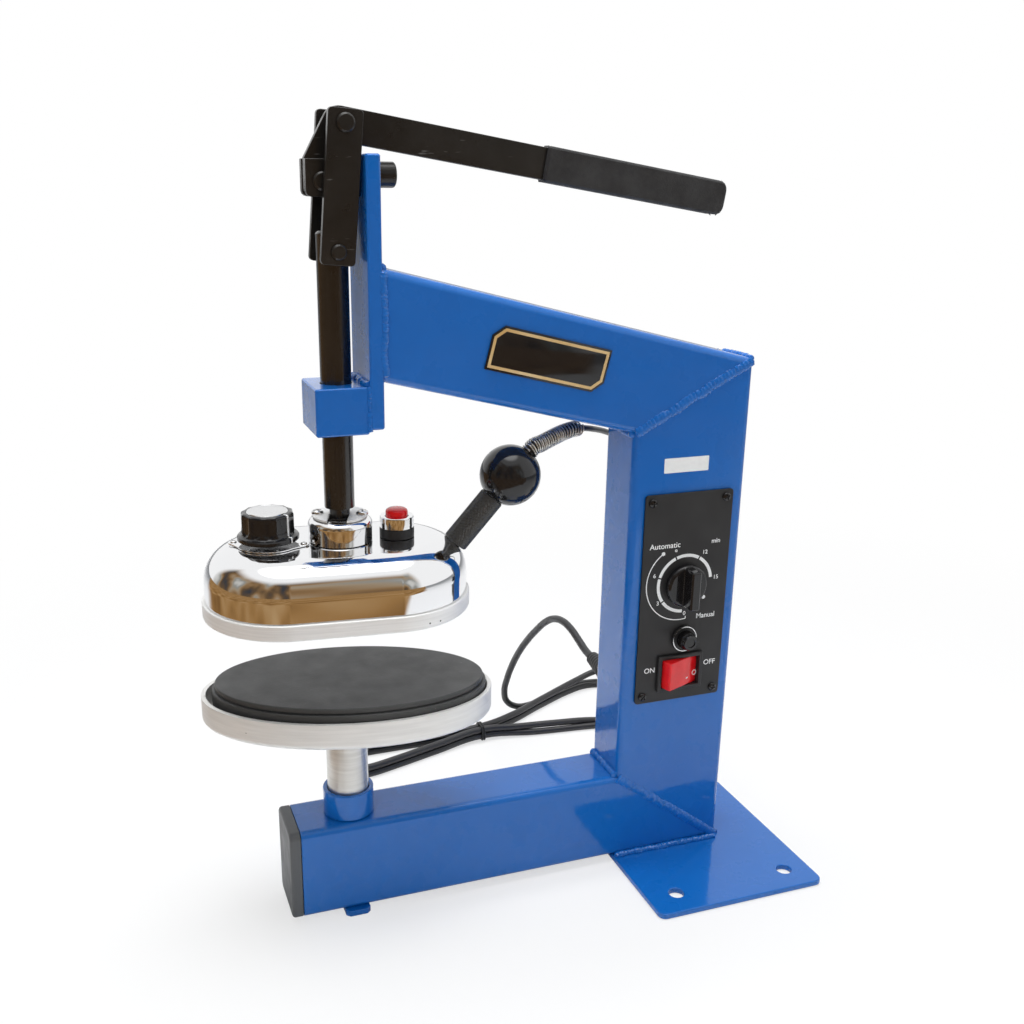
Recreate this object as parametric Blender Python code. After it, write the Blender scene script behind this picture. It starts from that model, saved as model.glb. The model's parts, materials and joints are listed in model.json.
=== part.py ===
# Bench vulcaniser for tyre and tube repairs: a lever press with a swivelling heated head over an oval platen.
# Metres, +Z up. The origin lies on the floor, under the middle of the post. The operator stands at -X.
# A height whose name ends in _Z counts from the beam's underside, which stands on the base plate.

import math

import bmesh
import bpy
from mathutils import Matrix, Vector

for old in list(bpy.data.objects):
    bpy.data.objects.remove(old, do_unlink=True)

MM = 0.001
GAP = 0.3 * MM  # clearance that touching pieces keep
OVERRUN = 5 * MM  # how far a cutter reaches past a face

# Frame of welded box tube
TUBE_D = 40 * MM
TUBE_WALL = 3 * MM
TUBE_CORNER = 4.5 * MM
BEAM_H = 60 * MM
BEAM_AHEAD = 34.3 * MM  # front end beyond the press rod's axis
POST_W = 80 * MM
THROAT_TOP_Z = 294.51 * MM  # inner corner under the arm
ARM_H = 60 * MM
ARM_TILT = math.radians(14)
BASE_T = 4 * MM
BASE_W = 120.5 * MM
BASE_D = 179 * MM
BASE_CORNER = 5 * MM
BASE_HOLE_R = 5 * MM
BASE_HOLE_OUTER = 18.3 * MM  # from the plate's outer edge
BASE_HOLE_INNER = 20.7 * MM
BASE_HOLE_SIDE = 18.5 * MM
FOOT_W = 16 * MM
FOOT_D = 44 * MM
FOOT_CHAMFER = 2.4 * MM
CAP_FLANGE = 5 * MM
CAP_PLUG = 14 * MM
CAP_EDGE = 1.6 * MM

# Front plate, guide block and press rod
PRESS_REACH = 178.4 * MM  # rod's axis from the post's inner face
ROD_SETBACK = 14.5 * MM  # rod's axis from the front plate
FRONT_PLATE_T = 8 * MM
FRONT_PLATE_D = 42 * MM
FRONT_PLATE_ABOVE = 56 * MM  # over the arm
FRONT_PLATE_BELOW = 25.8 * MM  # under the arm
FRONT_PLATE_EDGE = 1.2 * MM
BLOCK_W = 30 * MM
BLOCK_D = 39 * MM
BLOCK_H = 26.8 * MM
BLOCK_DROP = 2.6 * MM  # below the front plate's end
BLOCK_EDGE = 1 * MM
ROD_R = 8.7 * MM
ROD_CHAMFER = 1.4 * MM
ROD_ABOVE_PIVOT = 10.3 * MM
ROD_ABOVE_HEAD = 20.3 * MM
NECK_R = 6 * MM
FOOT_R = 10.4 * MM
FOOT_EDGE = 1.2 * MM

# Press linkage: pivots, then its plates, pins and grip
BRACKET_PIVOT_DX = -5.8 * MM  # from the rod's axis
BRACKET_PIVOT_DROP = 11.9 * MM  # below the front plate's top
LEVER_PIN_DX = 11.2 * MM  # from the bracket's pivot
LEVER_PIN_DZ = 28.8 * MM
LINK_LENGTH = 64.7 * MM
PIN_R = 3.7 * MM
SPACER_R = 6 * MM
RIVET_R = 5 * MM
LOW_RIVET_R = 4.3 * MM
RIVET_T = 1.9 * MM
RIVET_RIM = 0.8 * MM
RIVET_DOME = 1 * MM
LINK_W = 18.6 * MM
LINK_T = 4.5 * MM
LINK_OUT = 17 * MM  # outer face from the middle plane
LINK_END = 7 * MM  # plate beyond a hole
LINK_CORNER = 2.2 * MM
LEVER_T = 5 * MM
LEVER_TILT = math.radians(9.2)
LEVER_HALF = 8.8 * MM
LEVER_LEN = 222 * MM
LEVER_BACK = 8.2 * MM  # back edge from the bracket's pivot
LEVER_TOE_R = 8 * MM
LEVER_TOE_DROP_SHARES = (0.62, 0.92)
LEVER_NECK = 11.5 * MM
LEVER_THROAT = 13 * MM
GRIP_FROM = 118 * MM
GRIP_TO = 236 * MM
GRIP_H = 19.6 * MM
GRIP_T = 11 * MM
GRIP_NOSE = 5 * MM
GRIP_EDGE = 1.6 * MM
CLEVIS_AHEAD = 8.7 * MM  # front end from its pivot
CLEVIS_SLOT = 9.9 * MM  # depth behind its pivot
CLEVIS_HALF = 8 * MM
CLEVIS_BELOW = 8 * MM
CLEVIS_ABOVE = 11.2 * MM
CLEVIS_CORNER = 3 * MM
BOLT_UP = 3.3 * MM  # above the pivot
BOLT_HEAD_R = 6.8 * MM
BOLT_HEAD_L = 8.6 * MM
BOLT_EDGE = 0.8 * MM
BOLT_R = 4 * MM
BOLT_GRIP = 7 * MM  # thread inside the bracket
SOCKET_R = 3.3 * MM
SOCKET_DEPTH = 4 * MM

# Heated head, turned a little on the rod; its own X runs along it, from the rod's axis
HEAD_TURN = math.radians(-5.7)
HOT_Z = 198.2 * MM
HOT_T = 9.4 * MM
HOT_A = 78.6 * MM
HOT_B = 50.3 * MM
HOT_EDGE = 1 * MM
ELEMENT_A = 56 * MM
ELEMENT_B = 30 * MM
ELEMENT_T = 4.7 * MM
HOUSING_A = 76.7 * MM
HOUSING_B = 48.3 * MM
HOUSING_H = 31.6 * MM
HOUSING_SHOULDER = 20 * MM
HOUSING_WALL = 2 * MM
CUP_R = 18.7 * MM
CUP_BORE_R = 12 * MM
CUP_H = 14 * MM
CUP_FLOOR = 3.6 * MM
CUP_EDGE = 0.8 * MM
CUP_BOLT_R = 4 * MM
CUP_BOLT_L = 6 * MM
RETAINER_T = 1.5 * MM
RETAINER_IN = 0.3 * MM
RETAINER_SLOT = 12.8 * MM
RETAINER_TURN = math.radians(14)

# Thermostat and push button on the head
KNOB_X = -41.5 * MM
KNOB_SKIRT_R = 17.7 * MM
KNOB_SKIRT_H = 3 * MM
KNOB_R = 15.3 * MM
KNOB_H = 16.7 * MM
KNOB_SHOULDER = 1.2 * MM
KNOB_LIFT = 2.5 * MM
KNOB_SHAFT_R = 3 * MM
KNOB_CAP_R = 11.8 * MM
KNOB_CAP_T = 1.1 * MM
KNOB_CAP_PROUD = 0.5 * MM
THERMOSTAT_R = 13 * MM
THERMOSTAT_H = 14 * MM
DIAL_R = 18.2 * MM
DIAL_EAR_X = 19.4 * MM
DIAL_EAR_R = 4.2 * MM
DIAL_T = 1.2 * MM
DIAL_TURN = math.radians(-16.3)
BUTTON_X = 33.3 * MM
BUTTON_RING_R = 10.2 * MM
BUTTON_RING_H = 5.5 * MM
BUTTON_BEZEL_R = 10 * MM
BUTTON_BEZEL_H = 7 * MM
BUTTON_BEZEL_BEVEL = 1.2 * MM
BUTTON_R = 6.7 * MM
BUTTON_PROUD = 4.3 * MM
BUTTON_TRAVEL = 3 * MM
BUTTON_DOME_SHARES = ((0.6, 0.12), (0.92, 0.4), (1.0, 0.8))  # radius, drop over the proud height
SWITCH_R = 7.5 * MM
SWITCH_H = 18 * MM
SWITCH_SEAT = 1 * MM

# Handle of the head
BALL_R = 18.3 * MM
BALL_X = 102.1 * MM
BALL_UP = 33.4 * MM  # centre above the head's top
BALL_FLAT_SHARE = 0.9  # where the sleeve's seat cuts the ball
BALL_TIP_SHARE = 0.967  # where the cable's mouth cuts the ball
SLEEVE_R = 7.8 * MM
SLEEVE_EDGE = 0.6 * MM
STUD_R = 4 * MM
STUD_INSIDE = 9 * MM

# Head cable, its spring guard and its gland
CABLE_R = 1.9 * MM
CABLE_STEP = 4.2 * MM
GUARD_R0 = 3.9 * MM
GUARD_R1 = 2.9 * MM
GUARD_POINTS = 4  # route points inside the guard
HEAD_GLAND_X = 5 * MM
HEAD_GLAND_Z = 270 * MM
HEAD_GLAND_L = 12 * MM
HEAD_GLAND_R = 7 * MM
HEAD_GLAND_NUT = 2.5 * MM
GLAND_TAIL = 5 * MM  # inside the post
GLAND_THREAD = 1.4 * MM  # wall round the cord

# Platen on its stem
TRAY_A = 87.9 * MM
TRAY_B = 51 * MM
TRAY_Z = 128 * MM
TRAY_H = 16.7 * MM
TRAY_WALL = 2.8 * MM
TRAY_FLOOR = 4 * MM
TRAY_EDGE = 3.6 * MM
TRAY_TURN = math.radians(-13.2)
TRAY_OFF = 1.8 * MM  # casting's centre from the stem's axis
PAD_A = 81 * MM
PAD_B = 45.4 * MM
PAD_PROUD = 7.4 * MM  # above the tray's rim
PAD_STEP = 1.8 * MM
PAD_STEP_H = 3.6 * MM
STEM_R = 12.8 * MM
STEM_CHAMFER = 1.5 * MM
COLLAR_R = 15.8 * MM
COLLAR_H = 17 * MM

# Control panel on the front of the post
PANEL_W = 62 * MM
PANEL_H = 142 * MM
PANEL_T = 1.5 * MM
PANEL_Z = 184.1 * MM
PANEL_CORNER = 2 * MM
PANEL_SCREW_IN = 5 * MM
PANEL_SCREW_R = 3.2 * MM
PANEL_SCREW_H = 1.8 * MM
PANEL_RIM = 6 * MM  # lap of the panel round its opening
TIMER_Z = 193.7 * MM
TIMER_BODY = 40 * MM
TIMER_BODY_D = 23 * MM
TIMER_BODY_EDGE = 2 * MM
TIMER_KNOB_R = 14.2 * MM
TIMER_KNOB_H = 5 * MM
TIMER_KNOB_EDGE = 1.4 * MM
TIMER_KNOB_LIFT = 0.6 * MM
TIMER_SHAFT_R = 2.7 * MM
TIMER_WING_W = 6.8 * MM
TIMER_WING_L = 26 * MM
TIMER_WING_H = 15 * MM
TIMER_WING_EDGE = 1.2 * MM
FUSE_Z = 156.6 * MM
FUSE_X = 1.6 * MM
FUSE_FLANGE_R = 8.6 * MM
FUSE_FLANGE_T = 2 * MM
FUSE_BODY_R = 5.5 * MM
FUSE_BODY_L = 22 * MM
FUSE_WALL = 0.6 * MM
FUSE_FLOOR = 2 * MM
FUSE_CAP_R = 6.9 * MM
FUSE_CAP_H = 10.5 * MM
FUSE_CAP_EDGE = 0.9 * MM
FUSE_PLUG_L = 12 * MM
ROCKER_Z = 133.2 * MM
BEZEL_W = 32.7 * MM
BEZEL_H = 25 * MM
BEZEL_T = 2.2 * MM
BEZEL_EDGE = 0.7 * MM
KEY_R = 13.4 * MM  # its ends swing on this radius
KEY_H = 19.4 * MM
KEY_SUNK = 3 * MM  # its axis behind the bezel's front
KEY_ARC = (-14, 44)  # degrees that each rounded end spans
KEY_VALLEY = 7.4 * MM
KEY_TILT = math.radians(16)
WELL_DEPTH = 12 * MM
WELL_WALL = 1.4 * MM

# Plain nameplate on the arm
NAMEPLATE_L = 76 * MM
NAMEPLATE_H = 24 * MM
NAMEPLATE_T = 0.8 * MM
NAMEPLATE_CORNER = 4 * MM
NAMEPLATE_OUT = 57.8 * MM  # its centre from the post's inner face
NAMEPLATE_UP_SHARE = 0.5  # over the arm's height

# Mains cord, gland and plug
CORD_R = 2.7 * MM
CORD_STEP = 12 * MM
MAINS_GLAND_IN = 10 * MM  # from the post's inner face
MAINS_GLAND_Z = 118 * MM
MAINS_GLAND_L = 26 * MM
MAINS_GLAND_R = 8.4 * MM
MAINS_GLAND_NUT = 3 * MM
GLAND_TIP_WALL = 1.9 * MM
HANK_H = 12 * MM
HANK_LEFT = (-179 * MM, 160 * MM, 14 * MM)  # X, Y and radius of a round end
HANK_RIGHT = (58 * MM, 200 * MM, 44 * MM)
PLUG_R = 17 * MM
PLUG_FACE = 17 * MM
PLUG_BACK = 6 * MM
PLUG_EDGE = 1.5 * MM
PLUG_NECK_R = 8 * MM
PLUG_NECK_L = 11 * MM
PLUG_TAIL_R = 5 * MM
PLUG_TAIL_L = 13 * MM
PLUG_TAIL_CONE = 5 * MM
PLUG_AT = (110 * MM, 236 * MM)
PRONG_R = 2.4 * MM
PRONG_L = 19 * MM
PRONG_PITCH = 19 * MM
PRONG_POINT = 1.4 * MM

# Worked out from the sizes above
UNDER = BASE_T + GAP
POST_IN = -POST_W / 2
POST_OUT = POST_W / 2
FRONT_Y = -TUBE_D / 2
BACK_Y = TUBE_D / 2
PRESS_X = POST_IN - PRESS_REACH
BEAM_FRONT = PRESS_X - BEAM_AHEAD
FRONT_PLATE_X = PRESS_X + ROD_SETBACK
ARM_ALONG = Vector((-math.cos(ARM_TILT), 0, math.sin(ARM_TILT)))
ARM_UP = Vector((math.sin(ARM_TILT), 0, math.cos(ARM_TILT)))
ARM_DEPTH = ARM_H / math.cos(ARM_TILT)
POST_OUTER_Z = THROAT_TOP_Z + ARM_DEPTH - POST_W * math.tan(ARM_TILT)
ARM_END_X = FRONT_PLATE_X + FRONT_PLATE_T + GAP
ARM_END_TOP = UNDER + POST_OUTER_Z + (POST_OUT - ARM_END_X) * math.tan(ARM_TILT)
ARM_END_LOW = ARM_END_TOP - ARM_DEPTH
INNER_LOW = Vector((POST_IN, 0, UNDER + BEAM_H))
OUTER_LOW = Vector((POST_OUT, 0, UNDER))
OUTER_HIGH = Vector((POST_OUT, 0, UNDER + POST_OUTER_Z))
INNER_HIGH = OUTER_HIGH + Vector((-POST_W, 0, POST_W * math.tan(ARM_TILT) - ARM_DEPTH))
PLATE_TOP = ARM_END_TOP + FRONT_PLATE_ABOVE
PLATE_LOW = ARM_END_LOW - FRONT_PLATE_BELOW
BLOCK_LOW = PLATE_LOW - BLOCK_DROP
PIVOT_A = Vector((PRESS_X + BRACKET_PIVOT_DX, 0, PLATE_TOP - BRACKET_PIVOT_DROP))
PIVOT_B = PIVOT_A + Vector((LEVER_PIN_DX, 0, LEVER_PIN_DZ))
LINK_RUN = PIVOT_B.x - PRESS_X
PIVOT_C = Vector((PRESS_X, 0, PIVOT_B.z - math.sqrt(LINK_LENGTH ** 2 - LINK_RUN ** 2)))
HOT_LOW = UNDER + HOT_Z
SEAM = HOT_LOW + HOT_T
HEAD_TOP = SEAM + HOUSING_H
CUP_LOW = HEAD_TOP + GAP
CUP_SEAT = CUP_LOW + CUP_FLOOR
CUP_TOP = CUP_LOW + CUP_H
PAN = UNDER + TRAY_Z
RIM = PAN + TRAY_H
PIN_HOLE_R = PIN_R + GAP
PRESS_AXIS = Vector((PRESS_X, 0, 0))

ROUND = 32  # sides of a large turned piece
MEDIUM = 20
SMALL = 16
FLAT_ANGLE = math.radians(35)  # edges sharper than this stay crisp

scene = bpy.context.scene


# Materials

def material(name, colour, roughness, metallic=0.0):
    mat = bpy.data.materials.new(name)
    mat.use_nodes = True
    shader = mat.node_tree.nodes["Principled BSDF"]
    shader.inputs["Base Color"].default_value = (*colour, 1.0)
    shader.inputs["Roughness"].default_value = roughness
    shader.inputs["Metallic"].default_value = metallic
    return mat


BLUE = material("blue_enamel", (0.012, 0.095, 0.36), 0.18)
BLACK_STEEL = material("black_steel", (0.012, 0.011, 0.010), 0.42, 0.6)
CHROME = material("chrome", (0.78, 0.78, 0.78), 0.06, 1.0)
ALUMINIUM = material("cast_aluminium", (0.62, 0.61, 0.59), 0.38, 1.0)
STEEL = material("bright_steel", (0.55, 0.54, 0.51), 0.3, 1.0)
RUBBER = material("black_rubber", (0.035, 0.036, 0.038), 0.62)
GRIP = material("grip_rubber", (0.02, 0.02, 0.021), 0.7)
GLOSS_BLACK = material("gloss_black_plastic", (0.012, 0.013, 0.014), 0.12)
MATT_BLACK = material("matt_black_plastic", (0.02, 0.02, 0.021), 0.45)
RED = material("red_plastic", (0.62, 0.015, 0.02), 0.25)
CORD = material("cord_sheath", (0.03, 0.031, 0.033), 0.4)
WHITE = material("white_ceramic", (0.72, 0.71, 0.68), 0.5)


# Building blocks

def place_object(name, data, mat, place=None, parent=None):
    """Link an object to the scene, with its own material."""
    data.materials.append(mat)
    obj = bpy.data.objects.new(name, data)
    scene.collection.objects.link(obj)
    obj.parent = parent
    if place is not None:
        obj.matrix_local = place
    return obj


def finish(name, bm, mat, place=None, parent=None):
    """Make an object of a finished bmesh, its faces pointing out and its round sides smooth."""
    bmesh.ops.recalc_face_normals(bm, faces=bm.faces)
    if bm.calc_volume(signed=True) < 0:
        bmesh.ops.reverse_faces(bm, faces=bm.faces)
    mesh = bpy.data.meshes.new(name)
    bm.to_mesh(mesh)
    bm.free()
    mesh.shade_smooth()
    mesh.set_sharp_from_angle(angle=FLAT_ANGLE)
    return place_object(name, mesh, mat, place, parent)


def guide(name, at, turn=0.0, parent=None):
    """An empty on a joint's axis, turned about Z."""
    mark = bpy.data.objects.new(name, None)
    mark.empty_display_size = ROD_R
    scene.collection.objects.link(mark)
    mark.parent = parent
    mark.location = at
    mark.rotation_euler = (0, 0, turn)
    return mark


def polygon(bm, points):
    face = bm.faces.new([bm.verts.new(p) for p in points])
    face.normal_update()
    return face


def extrude(bm, faces, vector):
    """Extrude a patch of faces and keep it as the other end; return the moved corners."""
    made = bmesh.ops.extrude_face_region(bm, geom=faces)["geom"]
    far = [v for v in made if isinstance(v, bmesh.types.BMVert)]
    bmesh.ops.translate(bm, verts=far, vec=vector)
    return far


def push(bm, face, vector):
    """Push or pull a face of a solid and return it at its new place."""
    made = bmesh.ops.extrude_face_region(bm, geom=[face])["geom"]
    bmesh.ops.translate(bm, verts=[v for v in made if isinstance(v, bmesh.types.BMVert)], vec=vector)
    bmesh.ops.delete(bm, geom=[face], context="FACES_ONLY")
    return next(f for f in made if isinstance(f, bmesh.types.BMFace))


def inset(bm, face, width):
    bm.normal_update()
    bmesh.ops.inset_region(bm, faces=[face], thickness=width, use_even_offset=True, use_boundary=True)


def soften(bm, edges, width, segments=2):
    bmesh.ops.bevel(bm, geom=list(edges), offset=width, segments=segments, profile=0.5,
                    affect="EDGES", material=-1)


def arc(centre, radius, start, end, steps):
    """Points on an arc of a plane outline, angles in degrees."""
    turns = [math.radians(start + (end - start) * i / steps) for i in range(steps + 1)]
    return [(centre[0] + radius * math.cos(a), centre[1] + radius * math.sin(a)) for a in turns]


def rounded_rect(width, depth, radius, steps=4):
    """Corner-rounded rectangle round the origin."""
    x, y = width / 2 - radius, depth / 2 - radius
    points = []
    for centre, start in (((x, y), 0), ((-x, y), 90), ((-x, -y), 180), ((x, -y), 270)):
        points += arc(centre, radius, start, start + 90, steps)
    return points


def stadium(half_length, half_width, steps=12):
    """Outline with straight sides and round ends, along X."""
    straight = half_length - half_width
    return arc((straight, 0), half_width, -90, 90, steps) + arc((-straight, 0), half_width, 90, 270, steps)


def oval(a, b, steps=56):
    turns = [math.tau * i / steps for i in range(steps)]
    return [(TRAY_OFF + a * math.cos(t), b * math.sin(t)) for t in turns]


def upright(outline, y0, y1):
    """A plate whose outline lies in X and Z, from y0 to y1."""
    bm = bmesh.new()
    extrude(bm, [polygon(bm, [(x, y0, z) for x, z in outline])], (0, y1 - y0, 0))
    return bm


def level(outline, z0, z1):
    """A plate whose outline lies in X and Y, from z0 to z1."""
    bm = bmesh.new()
    extrude(bm, [polygon(bm, [(x, y, z0) for x, y in outline])], (0, 0, z1 - z0))
    return bm


def block(x0, x1, y0, y1, z0, z1, edge=0.0):
    bm = level([(x0, y0), (x1, y0), (x1, y1), (x0, y1)], z0, z1)
    if edge:
        soften(bm, bm.edges, edge)
    return bm


def turned(profile, sides=ROUND, ring=False):
    """Spin a profile of (radius, height) about Z; a ring's profile is closed."""
    bm = bmesh.new()
    verts = [bm.verts.new((r, 0, z)) for r, z in profile]
    edges = [bm.edges.new(pair) for pair in zip(verts, verts[1:])]
    if ring:
        edges.append(bm.edges.new((verts[-1], verts[0])))
    bmesh.ops.spin(bm, geom=verts + edges, cent=(0, 0, 0), axis=(0, 0, 1), angle=math.tau,
                   steps=sides, use_merge=True)
    bmesh.ops.remove_doubles(bm, verts=bm.verts, dist=GAP / 1000)
    return bm


def mirrored(profile):
    """A turned profile and its mirror image below the middle plane."""
    return profile + [(r, -z) for r, z in reversed(profile)]


def moved(bm, matrix):
    bmesh.ops.transform(bm, matrix=matrix, verts=bm.verts)
    return bm


def to_back(x, z, y=0.0):
    """Stand a turned piece so that its axis points to +Y."""
    return Matrix.Translation((x, y, z)) @ Matrix.Rotation(-math.pi / 2, 4, "X")


def to_front(x, z, y=0.0):
    """Stand a turned piece so that its axis points to -Y."""
    return Matrix.Translation((x, y, z)) @ Matrix.Rotation(math.pi / 2, 4, "X")


def to_right(x, y, z):
    """Stand a turned piece so that its axis points to +X."""
    return Matrix.Translation((x, y, z)) @ Matrix.Rotation(math.pi / 2, 4, "Y")


def as_tool(obj):
    obj.hide_render = True
    obj.display_type = "WIRE"
    return obj


def combine(target, tool, operation="DIFFERENCE"):
    """Cut a tool out of a piece, or add it; the tool stays as a wire guide."""
    as_tool(tool)
    step = target.modifiers.new(tool.name, "BOOLEAN")
    step.operation = operation
    step.solver = "EXACT"
    step.object = tool


def drill(name, radius, length, place, parent=None, sides=SMALL):
    """A cutting cylinder about its place's Z axis, centred there."""
    half = length / 2
    return finish(name, turned([(0, half), (radius, half), (radius, -half), (0, -half)], sides),
                  BLACK_STEEL, place, parent)


def smooth_route(points, step):
    """Evenly spaced points on a smooth curve through the route's own points."""
    chain = [Vector(p) for p in points]
    chain = [chain[0] * 2 - chain[1]] + chain + [chain[-1] * 2 - chain[-2]]
    fine = []
    for before, start, end, after in zip(chain, chain[1:], chain[2:], chain[3:]):
        for t in [i / 12 for i in range(12)]:
            fine.append(0.5 * (2 * start + (end - before) * t
                               + (2 * before - 5 * start + 4 * end - after) * t ** 2
                               + (3 * start - before - 3 * end + after) * t ** 3))
    fine.append(chain[-2])
    total = sum((b - a).length for a, b in zip(fine, fine[1:]))
    count = max(2, round(total / step))
    even, walked = [fine[0]], 0.0
    for a, b in zip(fine, fine[1:]):
        length = (b - a).length
        while len(even) < count and walked + length >= total * len(even) / count:
            even.append(a.lerp(b, (total * len(even) / count - walked) / length))
        walked += length
    return even + [fine[-1]]


def cord_tube(name, points, radius):
    """A cord's plain solid: a bevelled curve with filled ends."""
    curve = bpy.data.curves.new(name, "CURVE")
    curve.dimensions = "3D"
    curve.bevel_depth = radius
    curve.bevel_resolution = 2
    curve.use_fill_caps = True
    spline = curve.splines.new("POLY")
    spline.points.add(len(points) - 1)
    for point, place in zip(spline.points, points):
        point.co = (*place, 1.0)
    return place_object(name, curve, CORD)


# Frame of box tube

def mitre_normal(inner, outer):
    """Unit normal of the mitre through two corners, pointing up."""
    run = (outer - inner).normalized()
    return Vector((-run.z, 0, run.x))


def box_tube(name, height, origin, along, up, start, end):
    """Hollow box section on a line, cut by a plane at each end; a plane is a point and a normal."""
    bm = bmesh.new()
    outline = [origin + Vector((0, a, 0)) + up * b for a, b in rounded_rect(TUBE_D, height, TUBE_CORNER)]
    core = polygon(bm, outline)
    inset(bm, core, TUBE_WALL)
    bmesh.ops.delete(bm, geom=[core], context="FACES_ONLY")
    near = list(bm.verts)
    far = extrude(bm, list(bm.faces), along * height)
    for verts, (point, normal) in ((near, start), (far, end)):
        for v in verts:
            v.co += along * ((point - v.co).dot(normal) / along.dot(normal))
    return finish(name, bm, BLUE)


def build_tubes():
    low_normal = mitre_normal(INNER_LOW, OUTER_LOW)
    high_normal = mitre_normal(INNER_HIGH, OUTER_HIGH)
    x_axis, z_axis = Vector((1, 0, 0)), Vector((0, 0, 1))

    beam_front = Vector((BEAM_FRONT, 0, UNDER + BEAM_H / 2))
    beam = box_tube("lower_beam", BEAM_H, beam_front, x_axis, z_axis,
                    (beam_front, x_axis), (OUTER_LOW, low_normal))
    top_wall = Matrix.Translation((PRESS_X, 0, UNDER + BEAM_H - TUBE_WALL / 2))
    combine(beam, drill("stem_hole_cutter", STEM_R + GAP, 3 * TUBE_WALL, top_wall, sides=ROUND))

    post_mid = Vector((0, 0, UNDER + POST_OUTER_Z / 2))
    post = box_tube("post", POST_W, post_mid, z_axis, x_axis, (OUTER_LOW + low_normal * GAP, low_normal),
                    (OUTER_HIGH, high_normal))
    half_w, half_h = PANEL_W / 2 - PANEL_RIM, PANEL_H / 2 - PANEL_RIM
    opening = block(-half_w, half_w, FRONT_Y - OVERRUN, FRONT_Y + TUBE_WALL + OVERRUN,
                    UNDER + PANEL_Z - half_h, UNDER + PANEL_Z + half_h)
    combine(post, finish("panel_opening_cutter", opening, BLACK_STEEL))
    for name, x, z, radius in (("mains", POST_IN + MAINS_GLAND_IN, MAINS_GLAND_Z, CORD_R),
                               ("head_cable", HEAD_GLAND_X, HEAD_GLAND_Z, CABLE_R)):
        hole_r = radius + 2 * GAP + GLAND_THREAD
        combine(post, drill(name + "_hole_cutter", hole_r, 3 * TUBE_WALL, to_back(x, UNDER + z, BACK_Y)))

    arm_mid = OUTER_HIGH - ARM_UP * ARM_H / 2
    arm_end = Vector((ARM_END_X, 0, 0))
    box_tube("upper_arm", ARM_H, arm_mid, ARM_ALONG, ARM_UP, (OUTER_HIGH + high_normal * GAP, high_normal),
             (arm_end, x_axis))


def build_base():
    middle = POST_IN + BASE_W / 2
    outline = [(x + middle, y) for x, y in rounded_rect(BASE_W, BASE_D, BASE_CORNER)]
    plate = finish("base_plate", level(outline, 0, BASE_T), BLUE)
    y = BASE_D / 2 - BASE_HOLE_SIDE
    for corner, x in (("outer", POST_IN + BASE_W - BASE_HOLE_OUTER), ("inner", POST_IN + BASE_HOLE_INNER)):
        for side in (-1, 1):
            at = Matrix.Translation((x, side * y, BASE_T / 2))
            combine(plate, drill(f"{corner}_hole_cutter_{side}", BASE_HOLE_R, 3 * BASE_T, at))

    half, reach = FOOT_W / 2, FOOT_D / 2
    quarter = [(half - FOOT_CHAMFER, reach), (half, reach - FOOT_CHAMFER)]
    right = quarter + [(x, -y) for x, y in reversed(quarter)]
    tab = [(PRESS_X + x, y) for x, y in right + [(-x, -y) for x, y in right]]
    finish("front_foot", level(tab, 0, BASE_T), BLUE)


def build_end_cap():
    """Plastic plug with a flange as wide as the tube."""
    middle = UNDER + BEAM_H / 2
    x = BEAM_FRONT - GAP
    bm = bmesh.new()
    inner = polygon(bm, [(x, a, middle + b) for a, b in rounded_rect(TUBE_D, BEAM_H, TUBE_CORNER)])
    rim = extrude(bm, [inner], (-CAP_FLANGE, 0, 0))
    soften(bm, {e for v in rim for e in v.link_edges if all(end in rim for end in e.verts)}, CAP_EDGE)
    inset(bm, inner, TUBE_WALL + GAP)
    push(bm, inner, (CAP_PLUG, 0, 0))
    finish("beam_end_cap", bm, MATT_BLACK)


def build_guide():
    half = FRONT_PLATE_D / 2
    plate = block(FRONT_PLATE_X, FRONT_PLATE_X + FRONT_PLATE_T, -half, half,
                  PLATE_LOW, PLATE_TOP, FRONT_PLATE_EDGE)
    plate = finish("front_plate", plate, BLUE)
    at = to_right(FRONT_PLATE_X + FRONT_PLATE_T / 2, 0, PIVOT_A.z + BOLT_UP)
    combine(plate, drill("bolt_hole_cutter", BOLT_R + GAP, 3 * FRONT_PLATE_T, at))

    back = FRONT_PLATE_X - GAP
    guide_block = block(back - BLOCK_W, back, -BLOCK_D / 2, BLOCK_D / 2,
                        BLOCK_LOW, BLOCK_LOW + BLOCK_H, BLOCK_EDGE)
    guide_block = finish("guide_block", guide_block, BLUE)
    at = Matrix.Translation((PRESS_X, 0, BLOCK_LOW + BLOCK_H / 2))
    combine(guide_block, drill("guide_bore_cutter", ROD_R + GAP, 2 * BLOCK_H, at, sides=ROUND))

    low = UNDER + BEAM_H + GAP
    collar = turned([(STEM_R + GAP, low + COLLAR_H), (COLLAR_R, low + COLLAR_H), (COLLAR_R, low),
                     (STEM_R + GAP, low)], ring=True)
    finish("platen_collar", collar, BLUE, Matrix.Translation(PRESS_AXIS))


# Press linkage

def rivet_profile(seat, radius):
    """Domed rivet head that sits on a plate at the given height of a turned profile."""
    return [(0, seat + RIVET_T), (radius - RIVET_DOME, seat + RIVET_T),
            (radius, seat + RIVET_RIM), (radius, seat),
            (PIN_R, seat)]


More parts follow.
